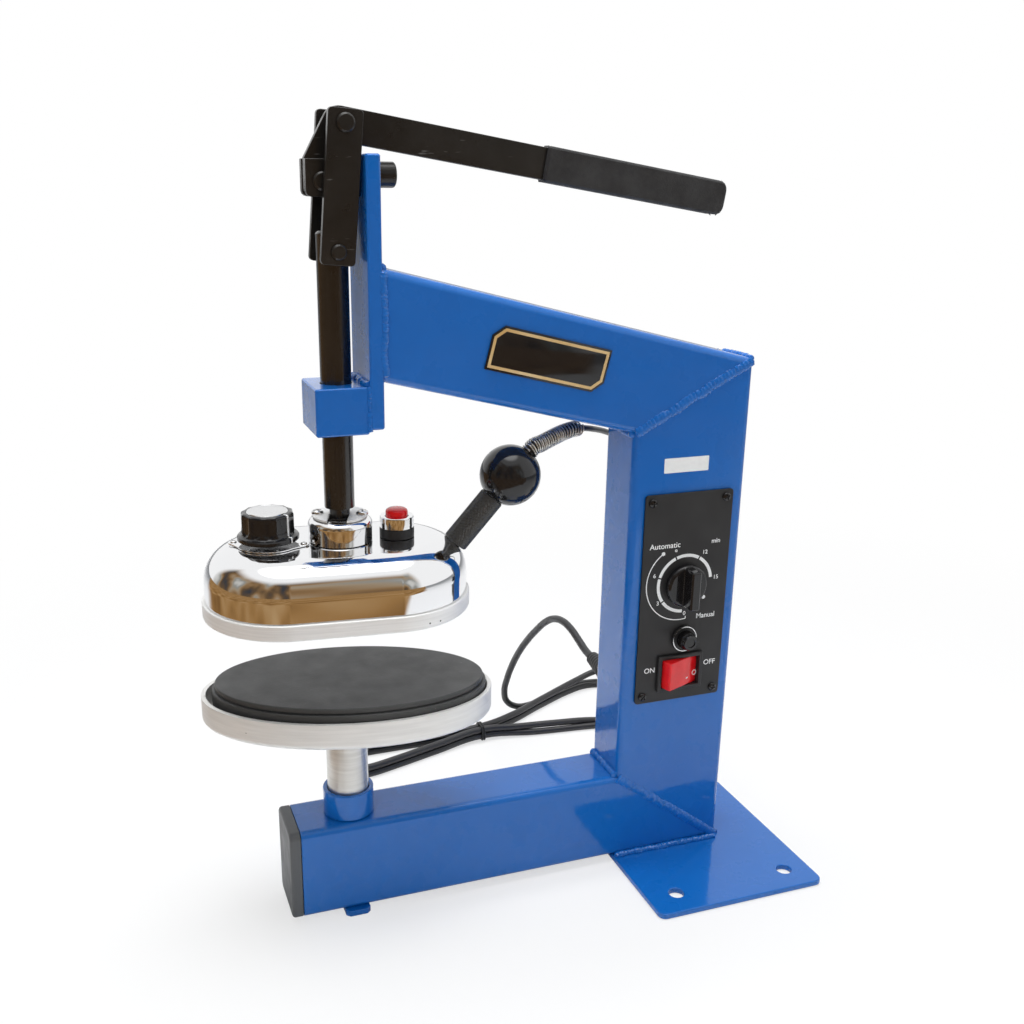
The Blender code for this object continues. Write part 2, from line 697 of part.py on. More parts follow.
def build_bracket():
    a = PIVOT_A
    slot = LEVER_T / 2 + GAP
    front, back, throat = a.x - CLEVIS_AHEAD, FRONT_PLATE_X - GAP, a.x + CLEVIS_SLOT
    low = a.z - CLEVIS_BELOW
    plan = [(back, -CLEVIS_HALF), (back, CLEVIS_HALF), (front, CLEVIS_HALF), (front, slot), (throat, slot),
            (throat, -slot), (front, -slot), (front, -CLEVIS_HALF)]
    bm = level(plan, low, a.z + CLEVIS_ABOVE)
    soften(bm, [e for e in bm.edges if all(v.co.x < front + GAP and v.co.z < low + GAP for v in e.verts)],
           CLEVIS_CORNER, 3)
    bracket = finish("pivot_bracket", bm, BLACK_STEEL)
    combine(bracket, drill("bracket_pin_cutter", PIN_HOLE_R, 3 * CLEVIS_HALF, to_back(a.x, a.z)))
    bolt_z = a.z + BOLT_UP
    combine(bracket, drill("bracket_thread_cutter", BOLT_R + GAP, 2 * BOLT_GRIP, to_right(back, 0, bolt_z)))

    shank = FRONT_PLATE_T + GAP + BOLT_GRIP - GAP
    rim = BOLT_HEAD_R - BOLT_EDGE
    floor = BOLT_HEAD_L - SOCKET_DEPTH
    profile = [(0, floor), (SOCKET_R, floor), (SOCKET_R, BOLT_HEAD_L),
               (rim, BOLT_HEAD_L), (BOLT_HEAD_R, BOLT_HEAD_L - BOLT_EDGE), (BOLT_HEAD_R, 0), (BOLT_R, 0),
               (BOLT_R, -shank), (0, -shank)]
    finish("bracket_bolt", turned(profile, MEDIUM), BLACK_STEEL, to_right(ARM_END_X, 0, bolt_z))
    pin = turned(mirrored(rivet_profile(CLEVIS_HALF + GAP, RIVET_R)), SMALL)
    finish("bracket_pivot_pin", pin, BLACK_STEEL, to_back(a.x, a.z))


def build_links():
    """Two link plates, riveted at their lower ends to a pin through the rod."""
    b, c = PIVOT_B, PIVOT_C
    seat, inside = LINK_OUT + GAP, LINK_OUT - LINK_T
    outline = [(x, z + LINK_LENGTH / 2)
               for x, z in rounded_rect(LINK_W, LINK_LENGTH + 2 * LINK_END, LINK_CORNER, 3)]
    lean = Matrix.Translation(c) @ Matrix.Rotation(math.asin(LINK_RUN / LINK_LENGTH), 4, "Y")
    for end, side, turn in (("front", -1, to_front), ("back", 1, to_back)):
        plate = upright(outline, side * inside, side * LINK_OUT)
        link = finish("link_" + end, moved(plate, lean), BLACK_STEEL)
        for name, at in ((end + "_top_cutter", b), (end + "_low_cutter", c)):
            combine(link, drill(name, PIN_HOLE_R, 3 * LINK_T, to_back(at.x, at.z, side * LINK_OUT)))
        rivet = turned(rivet_profile(seat, RIVET_R) + [(PIN_R, inside + GAP), (0, inside + GAP)], SMALL)
        finish("link_rivet_" + end, rivet, BLACK_STEEL, turn(b.x, b.z))

    face, cheek = inside - GAP, LEVER_T / 2 + GAP
    profile = [(0, face), (SPACER_R, face), (SPACER_R, cheek), (PIN_R, cheek)]
    finish("lever_pin", turned(mirrored(profile), SMALL), BLACK_STEEL, to_back(b.x, b.z))
    profile = rivet_profile(seat, LOW_RIVET_R) + [(PIN_R, face), (SPACER_R, face), (SPACER_R, ROD_R + GAP),
                                                  (PIN_R, ROD_R + GAP)]
    finish("rod_pin", turned(mirrored(profile), SMALL), BLACK_STEEL, to_back(c.x, c.z))


def build_lever():
    a, b = PIVOT_A, PIVOT_B
    run = Vector((math.cos(LEVER_TILT), -math.sin(LEVER_TILT)))
    up = Vector((-run.y, run.x))
    pin = Vector((b.x, b.z))

    def on_bar(distance, offset):
        return tuple(pin + run * distance + up * offset)

    back = a.x - LEVER_BACK
    toe, heel = [LEVER_TOE_R * share for share in LEVER_TOE_DROP_SHARES]
    outline = [on_bar(LEVER_LEN, -LEVER_HALF), on_bar(LEVER_LEN, LEVER_HALF)]
    outline += arc(tuple(pin), LEVER_HALF, 90 - math.degrees(LEVER_TILT), 153, 6)
    outline += [(back, a.z + LEVER_NECK), (back, a.z - toe), (back + LEVER_TOE_R - toe - GAP, a.z - heel)]
    outline += arc((a.x, a.z), LEVER_TOE_R, -75, 0, 5)
    outline += [(a.x + LEVER_TOE_R + GAP, a.z + LEVER_NECK), on_bar(LEVER_THROAT, -LEVER_HALF)]
    lever = finish("press_lever", upright(outline, -LEVER_T / 2, LEVER_T / 2), BLACK_STEEL)
    for name, at in (("lever_pivot_cutter", a), ("lever_pin_cutter", b)):
        combine(lever, drill(name, PIN_HOLE_R, 3 * LEVER_T, to_back(at.x, at.z)))

    place = Matrix.Translation(b) @ Matrix.Rotation(LEVER_TILT, 4, "Y")
    bm = block(GRIP_FROM, GRIP_TO, -GRIP_T / 2, GRIP_T / 2, -GRIP_H / 2, GRIP_H / 2)
    soften(bm, [e for e in bm.edges if all(v.co.x > GRIP_TO - GAP for v in e.verts)
                and abs(e.verts[0].co.y - e.verts[1].co.y) > GAP], GRIP_NOSE, 3)
    soften(bm, bm.edges, GRIP_EDGE)
    grip = finish("lever_grip", bm, GRIP, place)
    pocket = block(GRIP_FROM - OVERRUN, LEVER_LEN + GAP, -LEVER_T / 2 - GAP, LEVER_T / 2 + GAP,
                   -LEVER_HALF - GAP, LEVER_HALF + GAP)
    combine(grip, finish("grip_pocket_cutter", pocket, BLACK_STEEL, place))


def build_rod():
    """Press rod, with a neck and a foot that the head turns on."""
    top, end = PIVOT_C.z + ROD_ABOVE_PIVOT, HEAD_TOP + ROD_ABOVE_HEAD
    foot_top, foot_low = CUP_TOP - GAP, CUP_SEAT + GAP
    rod = turned([(0, top), (ROD_R - ROD_CHAMFER, top), (ROD_R, top - ROD_CHAMFER),
                  (ROD_R, end), (NECK_R, end),
                  (NECK_R, foot_top), (FOOT_R - FOOT_EDGE, foot_top), (FOOT_R, foot_top - FOOT_EDGE),
                  (FOOT_R, foot_low + FOOT_EDGE), (FOOT_R - FOOT_EDGE, foot_low), (0, foot_low)])
    rod = finish("press_rod", rod, BLACK_STEEL, Matrix.Translation(PRESS_AXIS))
    combine(rod, drill("rod_pin_cutter", PIN_HOLE_R, 3 * ROD_R, to_back(PIVOT_C.x, PIVOT_C.z)))


# Heated head, modelled about the rod's axis and turned as a whole

SHOULDER = Vector((HOUSING_A - HOUSING_SHOULDER, 0, HEAD_TOP - HOUSING_SHOULDER))
BALL = Vector((BALL_X, 0, HEAD_TOP + BALL_UP))
HANDLE_DIR = (BALL - SHOULDER).normalized()
HANDLE_REACH = (BALL - SHOULDER).length - HOUSING_SHOULDER
HANDLE_LEAN = Vector((0, 0, 1)).rotation_difference(HANDLE_DIR)
HANDLE_PLACE = Matrix.Translation(BALL) @ HANDLE_LEAN.to_matrix().to_4x4()
BALL_TIP = BALL_R * BALL_TIP_SHARE
BALL_SEAT = BALL_R * BALL_FLAT_SHARE


def build_housing(head):
    """Pressed shell over a heated plate; the shell is open below."""
    bm = bmesh.new()
    floor = polygon(bm, [(x, y, SEAM + GAP) for x, y in stadium(HOUSING_A, HOUSING_B, 16)])
    roof = extrude(bm, [floor], (0, 0, HOUSING_H - GAP))
    rim = {e for v in roof for e in v.link_edges if all(end in roof for end in e.verts)}
    soften(bm, rim, HOUSING_SHOULDER, 6)
    inset(bm, floor, HOUSING_WALL)
    ceiling = push(bm, floor, (0, 0, HOUSING_H - GAP - HOUSING_WALL))
    soften(bm, ceiling.edges, HOUSING_SHOULDER - HOUSING_WALL, 6)
    shell = finish("heater_housing", bm, CHROME, parent=head)
    stud_at = HANDLE_PLACE @ Matrix.Translation((0, 0, -HANDLE_REACH))
    roof_holes = (("cup_bolt_cutter", CUP_BOLT_R, 0), ("thermostat_cutter", KNOB_SHAFT_R, KNOB_X),
                  ("button_cutter", SWITCH_R, BUTTON_X))
    holes = [(name, radius, Matrix.Translation((x, 0, HEAD_TOP))) for name, radius, x in roof_holes]
    for name, radius, place in holes + [("stud_cutter", STUD_R, stud_at)]:
        combine(shell, drill(name, radius + GAP, 2 * (HOUSING_WALL + OVERRUN), place, head))

    bm = bmesh.new()
    face = polygon(bm, [(x, y, SEAM) for x, y in stadium(HOT_A, HOT_B, 16)])
    low = extrude(bm, [face], (0, 0, -HOT_T))
    soften(bm, {e for v in low for e in v.link_edges if all(end in low for end in e.verts)}, HOT_EDGE)
    finish("heating_plate", bm, ALUMINIUM, parent=head)
    element = level(stadium(ELEMENT_A, ELEMENT_B, 8), SEAM + GAP, SEAM + ELEMENT_T)
    finish("heating_element", element, WHITE, parent=head)


def build_cup(head):
    """Cup that holds the rod's foot, closed by two screwed plates."""
    end = HEAD_TOP - HOUSING_WALL - CUP_BOLT_L
    cup = turned([(0, CUP_SEAT), (CUP_BORE_R, CUP_SEAT), (CUP_BORE_R, CUP_TOP), (CUP_R - CUP_EDGE, CUP_TOP),
                  (CUP_R, CUP_TOP - CUP_EDGE), (CUP_R, CUP_LOW), (CUP_BOLT_R, CUP_LOW),
                  (CUP_BOLT_R, end), (0, end)])
    finish("swivel_cup", cup, CHROME, parent=head)

    low = CUP_TOP + GAP
    outer_r, edge = CUP_R - RETAINER_IN, RETAINER_SLOT / 2
    outer = math.degrees(math.acos(edge / outer_r))
    for name, turn in (("cup_retainer_front", -math.pi / 2), ("cup_retainer_back", math.pi / 2)):
        outline = [(max(x, edge), y) for x, y in arc((0, 0), outer_r, -outer, outer, 14)]
        place = Matrix.Rotation(turn + RETAINER_TURN, 4, "Z")
        finish(name, level(outline, low, low + RETAINER_T), STEEL, place, head)


def build_thermostat(head):
    under = HEAD_TOP - HOUSING_WALL - GAP
    place = Matrix.Translation((KNOB_X, 0, 0))
    body = turned([(0, under), (THERMOSTAT_R, under), (THERMOSTAT_R, under - THERMOSTAT_H),
                   (0, under - THERMOSTAT_H)], MEDIUM)
    finish("thermostat_body", body, STEEL, place, head)

    turn = place @ Matrix.Rotation(DIAL_TURN, 4, "Z")
    outline = []
    for side in (0, 180):
        ear = DIAL_EAR_X if side == 0 else -DIAL_EAR_X
        outline += arc((ear, 0), DIAL_EAR_R, side - 65, side + 65, 8)
        outline += arc((0, 0), DIAL_R, side + 28, side + 152, 10)
    dial = finish("dial_plate", level(outline, HEAD_TOP + GAP, HEAD_TOP + GAP + DIAL_T), CHROME, turn, head)
    shaft = Matrix.Translation((KNOB_X, 0, HEAD_TOP))
    combine(dial, drill("dial_cutter", KNOB_SHAFT_R + GAP, 2 * OVERRUN, shaft,
                        head))

    axis = guide("thermostat_axis", (KNOB_X, 0, HEAD_TOP + DIAL_T + KNOB_LIFT), 0, head)
    shaft_end = under + GAP - axis.location.z
    deck, pocket = KNOB_H - KNOB_CAP_PROUD, KNOB_H - KNOB_CAP_T - GAP
    knob = turned([(0, pocket), (KNOB_CAP_R + GAP, pocket),
                   (KNOB_CAP_R + GAP, deck), (KNOB_R - KNOB_SHOULDER, deck),
                   (KNOB_R, deck - KNOB_SHOULDER), (KNOB_R, KNOB_SKIRT_H + KNOB_SHOULDER),
                   (KNOB_SKIRT_R, KNOB_SKIRT_H), (KNOB_SKIRT_R, 0),
                   (KNOB_SHAFT_R, 0), (KNOB_SHAFT_R, shaft_end),
                   (0, shaft_end)])
    finish("thermostat_knob", knob, GLOSS_BLACK, parent=axis)
    under = KNOB_H - KNOB_CAP_T
    cap = turned([(0, KNOB_H), (KNOB_CAP_R, KNOB_H), (KNOB_CAP_R, under), (0, under)])
    finish("knob_cap", cap, ALUMINIUM, parent=axis)


def build_button(head):
    place = Matrix.Translation((BUTTON_X, 0, 0))
    bore = BUTTON_R + GAP
    low = HEAD_TOP + GAP
    ring_top = low + BUTTON_RING_H
    ring = turned([(bore, low), (BUTTON_RING_R, low), (BUTTON_RING_R, ring_top), (bore, ring_top)],
                  MEDIUM, ring=True)
    finish("button_ring", ring, MATT_BLACK, place, head)
    bezel_low, bezel_top = ring_top + GAP, ring_top + GAP + BUTTON_BEZEL_H
    bezel = turned([(bore, bezel_low), (BUTTON_BEZEL_R, bezel_low),
                    (BUTTON_BEZEL_R, bezel_top - BUTTON_BEZEL_BEVEL),
                    (BUTTON_BEZEL_R - BUTTON_BEZEL_BEVEL, bezel_top), (bore, bezel_top)], MEDIUM, ring=True)
    finish("button_bezel", bezel, CHROME, place, head)

    switch_top = HEAD_TOP - SWITCH_SEAT
    axis = guide("button_axis", (BUTTON_X, 0, bezel_top + BUTTON_PROUD), 0, head)
    bottom = switch_top + BUTTON_TRAVEL + 2 * GAP - axis.location.z
    dome = [(BUTTON_R * share, -BUTTON_PROUD * drop) for share, drop in BUTTON_DOME_SHARES]
    button = turned([(0, 0)] + dome + [(BUTTON_R, bottom), (0, bottom)], MEDIUM)
    finish("push_button", button, RED, parent=axis)
    switch = turned([(0, switch_top), (SWITCH_R, switch_top), (SWITCH_R, switch_top - SWITCH_H),
                     (0, switch_top - SWITCH_H)], MEDIUM)
    finish("button_switch", switch, MATT_BLACK, place, head)


def build_handle(head):
    """Ball on a knurled sleeve, held by a stud through the shell's shoulder."""
    start, end = math.acos(BALL_TIP_SHARE), math.pi - math.acos(BALL_FLAT_SHARE)
    turns = [start + (end - start) * i / 12 for i in range(13)]
    curve = [(BALL_R * math.sin(t), BALL_R * math.cos(t)) for t in turns]
    profile = [(0, BALL_TIP)] + curve + [(0, -BALL_SEAT)]
    finish("ball_knob", turned(profile), GLOSS_BLACK, HANDLE_PLACE, head)

    top, low = -BALL_SEAT - GAP, -HANDLE_REACH + 2 * GAP
    bore, rim = STUD_R + GAP, SLEEVE_R - SLEEVE_EDGE
    sleeve = turned([(bore, top), (rim, top), (SLEEVE_R, top - SLEEVE_EDGE),
                     (SLEEVE_R, low + SLEEVE_EDGE), (rim, low),
                     (bore, low)], MEDIUM, ring=True)
    finish("handle_sleeve", sleeve, MATT_BLACK, HANDLE_PLACE, head)
    tail = -HANDLE_REACH - STUD_INSIDE
    stud = turned([(0, top), (STUD_R, top), (STUD_R, tail), (0, tail)], SMALL)
    finish("handle_stud", stud, BLACK_STEEL, HANDLE_PLACE, head)


# Head cable with its spring guard, from the ball to the back of the post

CABLE_ROUTE = [
    (-97.7 * MM, -10 * MM, 294.6 * MM),
    (-88.2 * MM, -8 * MM, 297.9 * MM),
    (-78.2 * MM, -3 * MM, 299.5 * MM),
    (-68.2 * MM, 3 * MM, 299.3 * MM),
    (-58 * MM, 11 * MM, 297.1 * MM),
    (-47.9 * MM, 20 * MM, 293.9 * MM),
    (-39.5 * MM, 27.5 * MM, 290.9 * MM),
    (-31.5 * MM, 34.5 * MM, 287.6 * MM),
    (-22 * MM, 41.5 * MM, 283.5 * MM),
    (-12 * MM, 46 * MM, 279.3 * MM),
    (-3 * MM, 45.6 * MM, 276.1 * MM),
    (3.5 * MM, 40.6 * MM, 274.5 * MM),
]


def sleeve_along(route, radius_start, radius_end, bore):
    """A straight tapered tube with a ring for each point of a route, then bent along it."""
    last = len(route) - 1
    outer = [(radius_start + (radius_end - radius_start) * i / last, i * CABLE_STEP) for i in range(last + 1)]
    bm = turned(outer + [(bore, z) for _, z in reversed(outer)], SMALL, ring=True)
    for v in bm.verts:
        i = round(v.co.z / CABLE_STEP)
        along = (route[min(i + 1, last)] - route[max(i - 1, 0)]).normalized()
        across = along.cross(Vector((0, 0, 1))).normalized()
        v.co = route[i] + across * v.co.x + across.cross(along) * v.co.y
    return bm


def gland(name, length, radius, nut, bore, place):
    """Tapered strain relief with its tail through the wall."""
    tip = bore + GLAND_TIP_WALL
    tail_r = bore + GLAND_THREAD
    profile = [(bore, length), (tip, length), (radius - GLAND_TIP_WALL, nut), (radius, nut), (radius, GAP),
               (tail_r, GAP), (tail_r, -GLAND_TAIL), (bore, -GLAND_TAIL)]
    return finish(name, turned(profile, MEDIUM, ring=True), MATT_BLACK, place)


def build_head_cable():
    frame = Matrix.Translation(PRESS_AXIS) @ Matrix.Rotation(HEAD_TURN, 4, "Z")
    mouth = frame @ (BALL + HANDLE_DIR * (BALL_TIP + GAP))
    ahead = frame @ (BALL + HANDLE_DIR * (BALL_TIP + CABLE_STEP))
    wall = Vector((HEAD_GLAND_X, BACK_Y, UNDER + HEAD_GLAND_Z))
    tip = wall + Vector((0, HEAD_GLAND_L + GAP, 0))
    straight = Vector((0, CABLE_STEP, 0))
    route = [mouth, ahead] + CABLE_ROUTE + [tip + straight, tip]
    cord_tube("head_cable", smooth_route(route, CABLE_STEP), CABLE_R)
    inside = smooth_route(route[:2 + GUARD_POINTS], CABLE_STEP)
    finish("spring_guard", sleeve_along(inside, GUARD_R0, GUARD_R1, CABLE_R + GAP), STEEL)
    gland("head_cable_gland", HEAD_GLAND_L, HEAD_GLAND_R, HEAD_GLAND_NUT, CABLE_R + GAP,
          to_back(wall.x, wall.z, wall.y))


# Platen

def build_platen():
    axis = guide("platen_axis", PRESS_AXIS, TRAY_TURN)
    bm = bmesh.new()
    lid = polygon(bm, [(x, y, RIM) for x, y in oval(TRAY_A, TRAY_B)])
    low = extrude(bm, [lid], (0, 0, -TRAY_H))
    soften(bm, {e for v in low for e in v.link_edges if all(end in low for end in e.verts)}, TRAY_EDGE, 3)
    inset(bm, lid, TRAY_WALL)
    push(bm, lid, (0, 0, TRAY_FLOOR - TRAY_H))
    finish("platen_tray", bm, ALUMINIUM, parent=axis)

    bm = bmesh.new()
    seat = PAN + TRAY_FLOOR + GAP
    ledge = RIM + PAD_PROUD - PAD_STEP_H
    lid = polygon(bm, [(x, y, ledge) for x, y in oval(PAD_A + PAD_STEP, PAD_B + PAD_STEP)])
    extrude(bm, [lid], (0, 0, seat - ledge))
    inset(bm, lid, PAD_STEP)
    push(bm, lid, (0, 0, PAD_STEP_H))
    finish("platen_pad", bm, RUBBER, parent=axis)

    top, low = PAN - GAP, UNDER + TUBE_WALL + GAP
    stem = turned([(0, top), (STEM_R, top), (STEM_R, low + STEM_CHAMFER),
                   (STEM_R - STEM_CHAMFER, low), (0, low)])
    finish("platen_stem", stem, STEEL, parent=axis)


# Control panel

def build_panel():
    back = FRONT_Y - GAP
    face = back - PANEL_T
    middle = UNDER + PANEL_Z
    outline = [(x, z + middle) for x, z in rounded_rect(PANEL_W, PANEL_H, PANEL_CORNER, 2)]
    panel = finish("control_panel", upright(outline, face, back), MATT_BLACK)
    across, down = PANEL_W / 2 - PANEL_SCREW_IN, PANEL_H / 2 - PANEL_SCREW_IN
    for name, x, z in (("top_left", -across, down), ("top_right", across, down),
                       ("low_left", -across, -down), ("low_right", across, -down)):
        screw = turned([(0, PANEL_SCREW_H), (PANEL_SCREW_R / 2, PANEL_SCREW_H),
                        (PANEL_SCREW_R, PANEL_SCREW_H / 3), (PANEL_SCREW_R, 0), (0, 0)], SMALL)
        finish("panel_screw_" + name, screw, MATT_BLACK, to_front(x, middle + z, face - GAP))
    build_timer(panel, face, back)
    build_fuse(panel, face)
    build_rocker(panel, face, back)


def build_timer(panel, face, back):
    z = UNDER + TIMER_Z
    combine(panel, drill("timer_shaft_cutter", TIMER_SHAFT_R + GAP, 2 * OVERRUN, to_back(0, z, face)))
    half = TIMER_BODY / 2
    body = block(-half, half, back + GAP, back + GAP + TIMER_BODY_D, z - half, z + half, TIMER_BODY_EDGE)
    finish("timer_body", body, STEEL)
    axis = guide("timer_axis", (0, face - TIMER_KNOB_LIFT, z))
    shaft = TIMER_KNOB_LIFT + PANEL_T
    knob = turned([(0, TIMER_KNOB_H), (TIMER_KNOB_R - TIMER_KNOB_EDGE, TIMER_KNOB_H),
                   (TIMER_KNOB_R, TIMER_KNOB_H - TIMER_KNOB_EDGE), (TIMER_KNOB_R, 0), (TIMER_SHAFT_R, 0),
                   (TIMER_SHAFT_R, -shaft), (0, -shaft)])
    knob = finish("timer_knob", knob, GLOSS_BLACK, to_front(0, 0), axis)
    wing = block(-TIMER_WING_W / 2, TIMER_WING_W / 2, -TIMER_WING_H, -TIMER_KNOB_H / 2, -TIMER_WING_L / 2,
                 TIMER_WING_L / 2, TIMER_WING_EDGE)
    combine(knob, finish("timer_wing_tool", wing, GLOSS_BLACK, parent=axis), "UNION")


def build_fuse(panel, face):
    z = UNDER + FUSE_Z
    combine(panel, drill("fuse_cutter", FUSE_BODY_R + GAP, 2 * OVERRUN, to_back(FUSE_X, z, face)))
    place = to_front(FUSE_X, z, face - GAP)
    bore, floor = FUSE_BODY_R - FUSE_WALL, FUSE_FLOOR - FUSE_BODY_L
    holder = turned([(0, floor), (bore, floor), (bore, FUSE_FLANGE_T), (FUSE_FLANGE_R, FUSE_FLANGE_T),
                     (FUSE_FLANGE_R, 0), (FUSE_BODY_R, 0), (FUSE_BODY_R, -FUSE_BODY_L),
                     (0, -FUSE_BODY_L)], MEDIUM)
    finish("fuse_holder", holder, MATT_BLACK, place)
    low, rim = FUSE_FLANGE_T + GAP, FUSE_CAP_R - FUSE_CAP_EDGE
    cap = turned([(0, FUSE_CAP_H), (rim, FUSE_CAP_H),
                  (FUSE_CAP_R, FUSE_CAP_H - FUSE_CAP_EDGE), (FUSE_CAP_R, low),
                  (bore - GAP, low), (bore - GAP, -FUSE_PLUG_L), (0, -FUSE_PLUG_L)], MEDIUM)
    finish("fuse_cap", cap, GLOSS_BLACK, place)


def build_rocker(panel, face, back):
    z = UNDER + ROCKER_Z
    well_w, well_h = KEY_R + GAP, KEY_H / 2 + GAP
    body_w, body_h = well_w + WELL_WALL, well_h + WELL_WALL
    window = block(-body_w - GAP, body_w + GAP, face - OVERRUN, back + OVERRUN,
                   z - body_h - GAP, z + body_h + GAP)
    combine(panel, finish("rocker_window_cutter", window, BLACK_STEEL))

    seat = face - GAP
    front = seat - BEZEL_T
    axis_y = front + KEY_SUNK
    bezel = block(-BEZEL_W / 2, BEZEL_W / 2, front, seat, z - BEZEL_H / 2, z + BEZEL_H / 2, BEZEL_EDGE)
    bezel = finish("rocker_bezel", bezel, MATT_BLACK)
    body = block(-body_w, body_w, front + BEZEL_EDGE, axis_y + WELL_DEPTH + WELL_WALL, z - body_h, z + body_h)
    combine(bezel, finish("rocker_body_tool", body, MATT_BLACK), "UNION")
    well = block(-well_w, well_w, front - OVERRUN, axis_y + WELL_DEPTH, z - well_h, z + well_h)
    combine(bezel, finish("rocker_well_cutter", well, BLACK_STEEL))

    low, high = KEY_ARC
    outline = arc((0, 0), KEY_R, low, high, 6) + [(0, KEY_VALLEY)]
    outline += arc((0, 0), KEY_R, 180 - high, 180 - low, 6)
    key = upright([(x, -out) for x, out in outline], 0, KEY_H)
    key = moved(key, Matrix.Translation((0, 0, -KEY_H / 2)) @ Matrix.Rotation(math.pi / 2, 4, "X"))
    axis = guide("rocker_axis", (0, axis_y, z))
    finish("rocker", key, RED, Matrix.Rotation(KEY_TILT, 4, "Z"), axis)


def build_nameplate():
    """Bare plate on the front of the arm."""
    out = POST_IN - NAMEPLATE_OUT
    top = UNDER + POST_OUTER_Z + (POST_OUT - out) * math.tan(ARM_TILT)
    centre = Vector((out, FRONT_Y - GAP, top - ARM_DEPTH * NAMEPLATE_UP_SHARE))
    plate = upright(rounded_rect(NAMEPLATE_L, NAMEPLATE_H, NAMEPLATE_CORNER), -NAMEPLATE_T, 0)
    finish("nameplate", plate, GLOSS_BLACK, Matrix.Translation(centre) @ Matrix.Rotation(ARM_TILT, 4, "Y"))


# Mains cord

LEAD_ROUTE = [
    (-30.2 * MM, 57 * MM, 123.2 * MM),
    (-30.5 * MM, 68 * MM, 126 * MM),
    (-31 * MM, 82 * MM, 130.4 * MM),
    (-32 * MM, 95 * MM, 132.6 * MM),
    (-33 * MM, 108 * MM, 130.6 * MM),
    (-34 * MM, 121 * MM, 124 * MM),
    (-35 * MM, 137 * MM, 112 * MM),
    (-36 * MM, 153 * MM, 97.5 * MM),
    (-37 * MM, 170 * MM, 79 * MM),
    (-38 * MM, 184 * MM, 59 * MM),
    (-39 * MM, 196 * MM, 38 * MM),
    (-39.8 * MM, 203 * MM, 22 * MM),
]
LEAD_END = (-40 * MM, 205 * MM)


def build_mains():
    wall = Vector((POST_IN + MAINS_GLAND_IN, BACK_Y, UNDER + MAINS_GLAND_Z))
    gland("mains_gland", MAINS_GLAND_L, MAINS_GLAND_R, MAINS_GLAND_NUT, CORD_R + GAP,
          to_back(wall.x, wall.z, wall.y))
    start = wall + Vector((0, MAINS_GLAND_L + GAP, 0))
    end = Vector((*LEAD_END, HANK_H + GAP))
    above = end + Vector((0, 0, CORD_R))
    cord_tube("mains_lead", smooth_route([start] + LEAD_ROUTE + [above], CORD_STEP) + [end], CORD_R)

    (left_x, left_y, left_r), (right_x, right_y, right_r) = HANK_LEFT, HANK_RIGHT
    run = math.hypot(right_x - left_x, right_y - left_y)
    axis = math.degrees(math.atan2(right_y - left_y, right_x - left_x))
    square = 90 + math.degrees(math.asin((right_r - left_r) / run))
    outline = arc((right_x, right_y), right_r, axis - square, axis + square, 14)
    outline += arc((left_x, left_y), left_r, axis + square, axis + 360 - square, 8)
    finish("mains_hank", level(outline, 0, HANK_H), CORD)


def build_plug():
    """Round two-pin plug lying on its side, its tail on the hank, prongs to +X."""
    centre = Vector((*PLUG_AT, PLUG_R))
    neck, tail = -PLUG_BACK - PLUG_NECK_L, -PLUG_BACK - PLUG_NECK_L - PLUG_TAIL_L
    body = turned([(0, PLUG_FACE), (PLUG_R - PLUG_EDGE, PLUG_FACE), (PLUG_R, PLUG_FACE - PLUG_EDGE),
                   (PLUG_R, -PLUG_BACK), (PLUG_NECK_R, neck), (PLUG_TAIL_R, neck - PLUG_TAIL_CONE),
                   (PLUG_TAIL_R, tail), (0, tail)])
    plug = finish("mains_plug", body, GLOSS_BLACK, to_right(*centre))
    for name, side in (("near_prong_tool", -1), ("far_prong_tool", 1)):
        prong = turned([(0, PRONG_L), (PRONG_R - PRONG_POINT, PRONG_L), (PRONG_R, PRONG_L - PRONG_POINT),
                        (PRONG_R, -PRONG_R), (0, -PRONG_R)], SMALL)
        place = to_right(centre.x + PLUG_FACE, centre.y + side * PRONG_PITCH / 2, centre.z)
        combine(plug, finish(name, prong, STEEL, place), "UNION")


build_tubes()
build_base()
build_end_cap()
build_guide()
build_bracket()
build_links()
build_lever()
build_rod()
head_axis = guide("head_axis", PRESS_AXIS, HEAD_TURN)
build_housing(head_axis)
build_cup(head_axis)
build_thermostat(head_axis)
build_button(head_axis)
build_handle(head_axis)
build_head_cable()
build_platen()
build_panel()
build_nameplate()
build_mains()
build_plug()
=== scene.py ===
# %% [markdown]
# # A bench vulcaniser, dressed over its CAD model
#
# A vulcaniser cures a patch on a tyre or an inner tube between a heated plate and a padded
# platen. The CAD model already holds every size and every joint. This lesson keeps them, and adds
# what a camera sees: rounded edges, weld beads, a wound spring, knurls, print and real finishes.
# Lengths are written in millimetres, and MM turns them into Blender's metres.

# %% Load the CAD model
import json
import math
import bmesh
import bpy
from mathutils import Matrix, Vector, noise

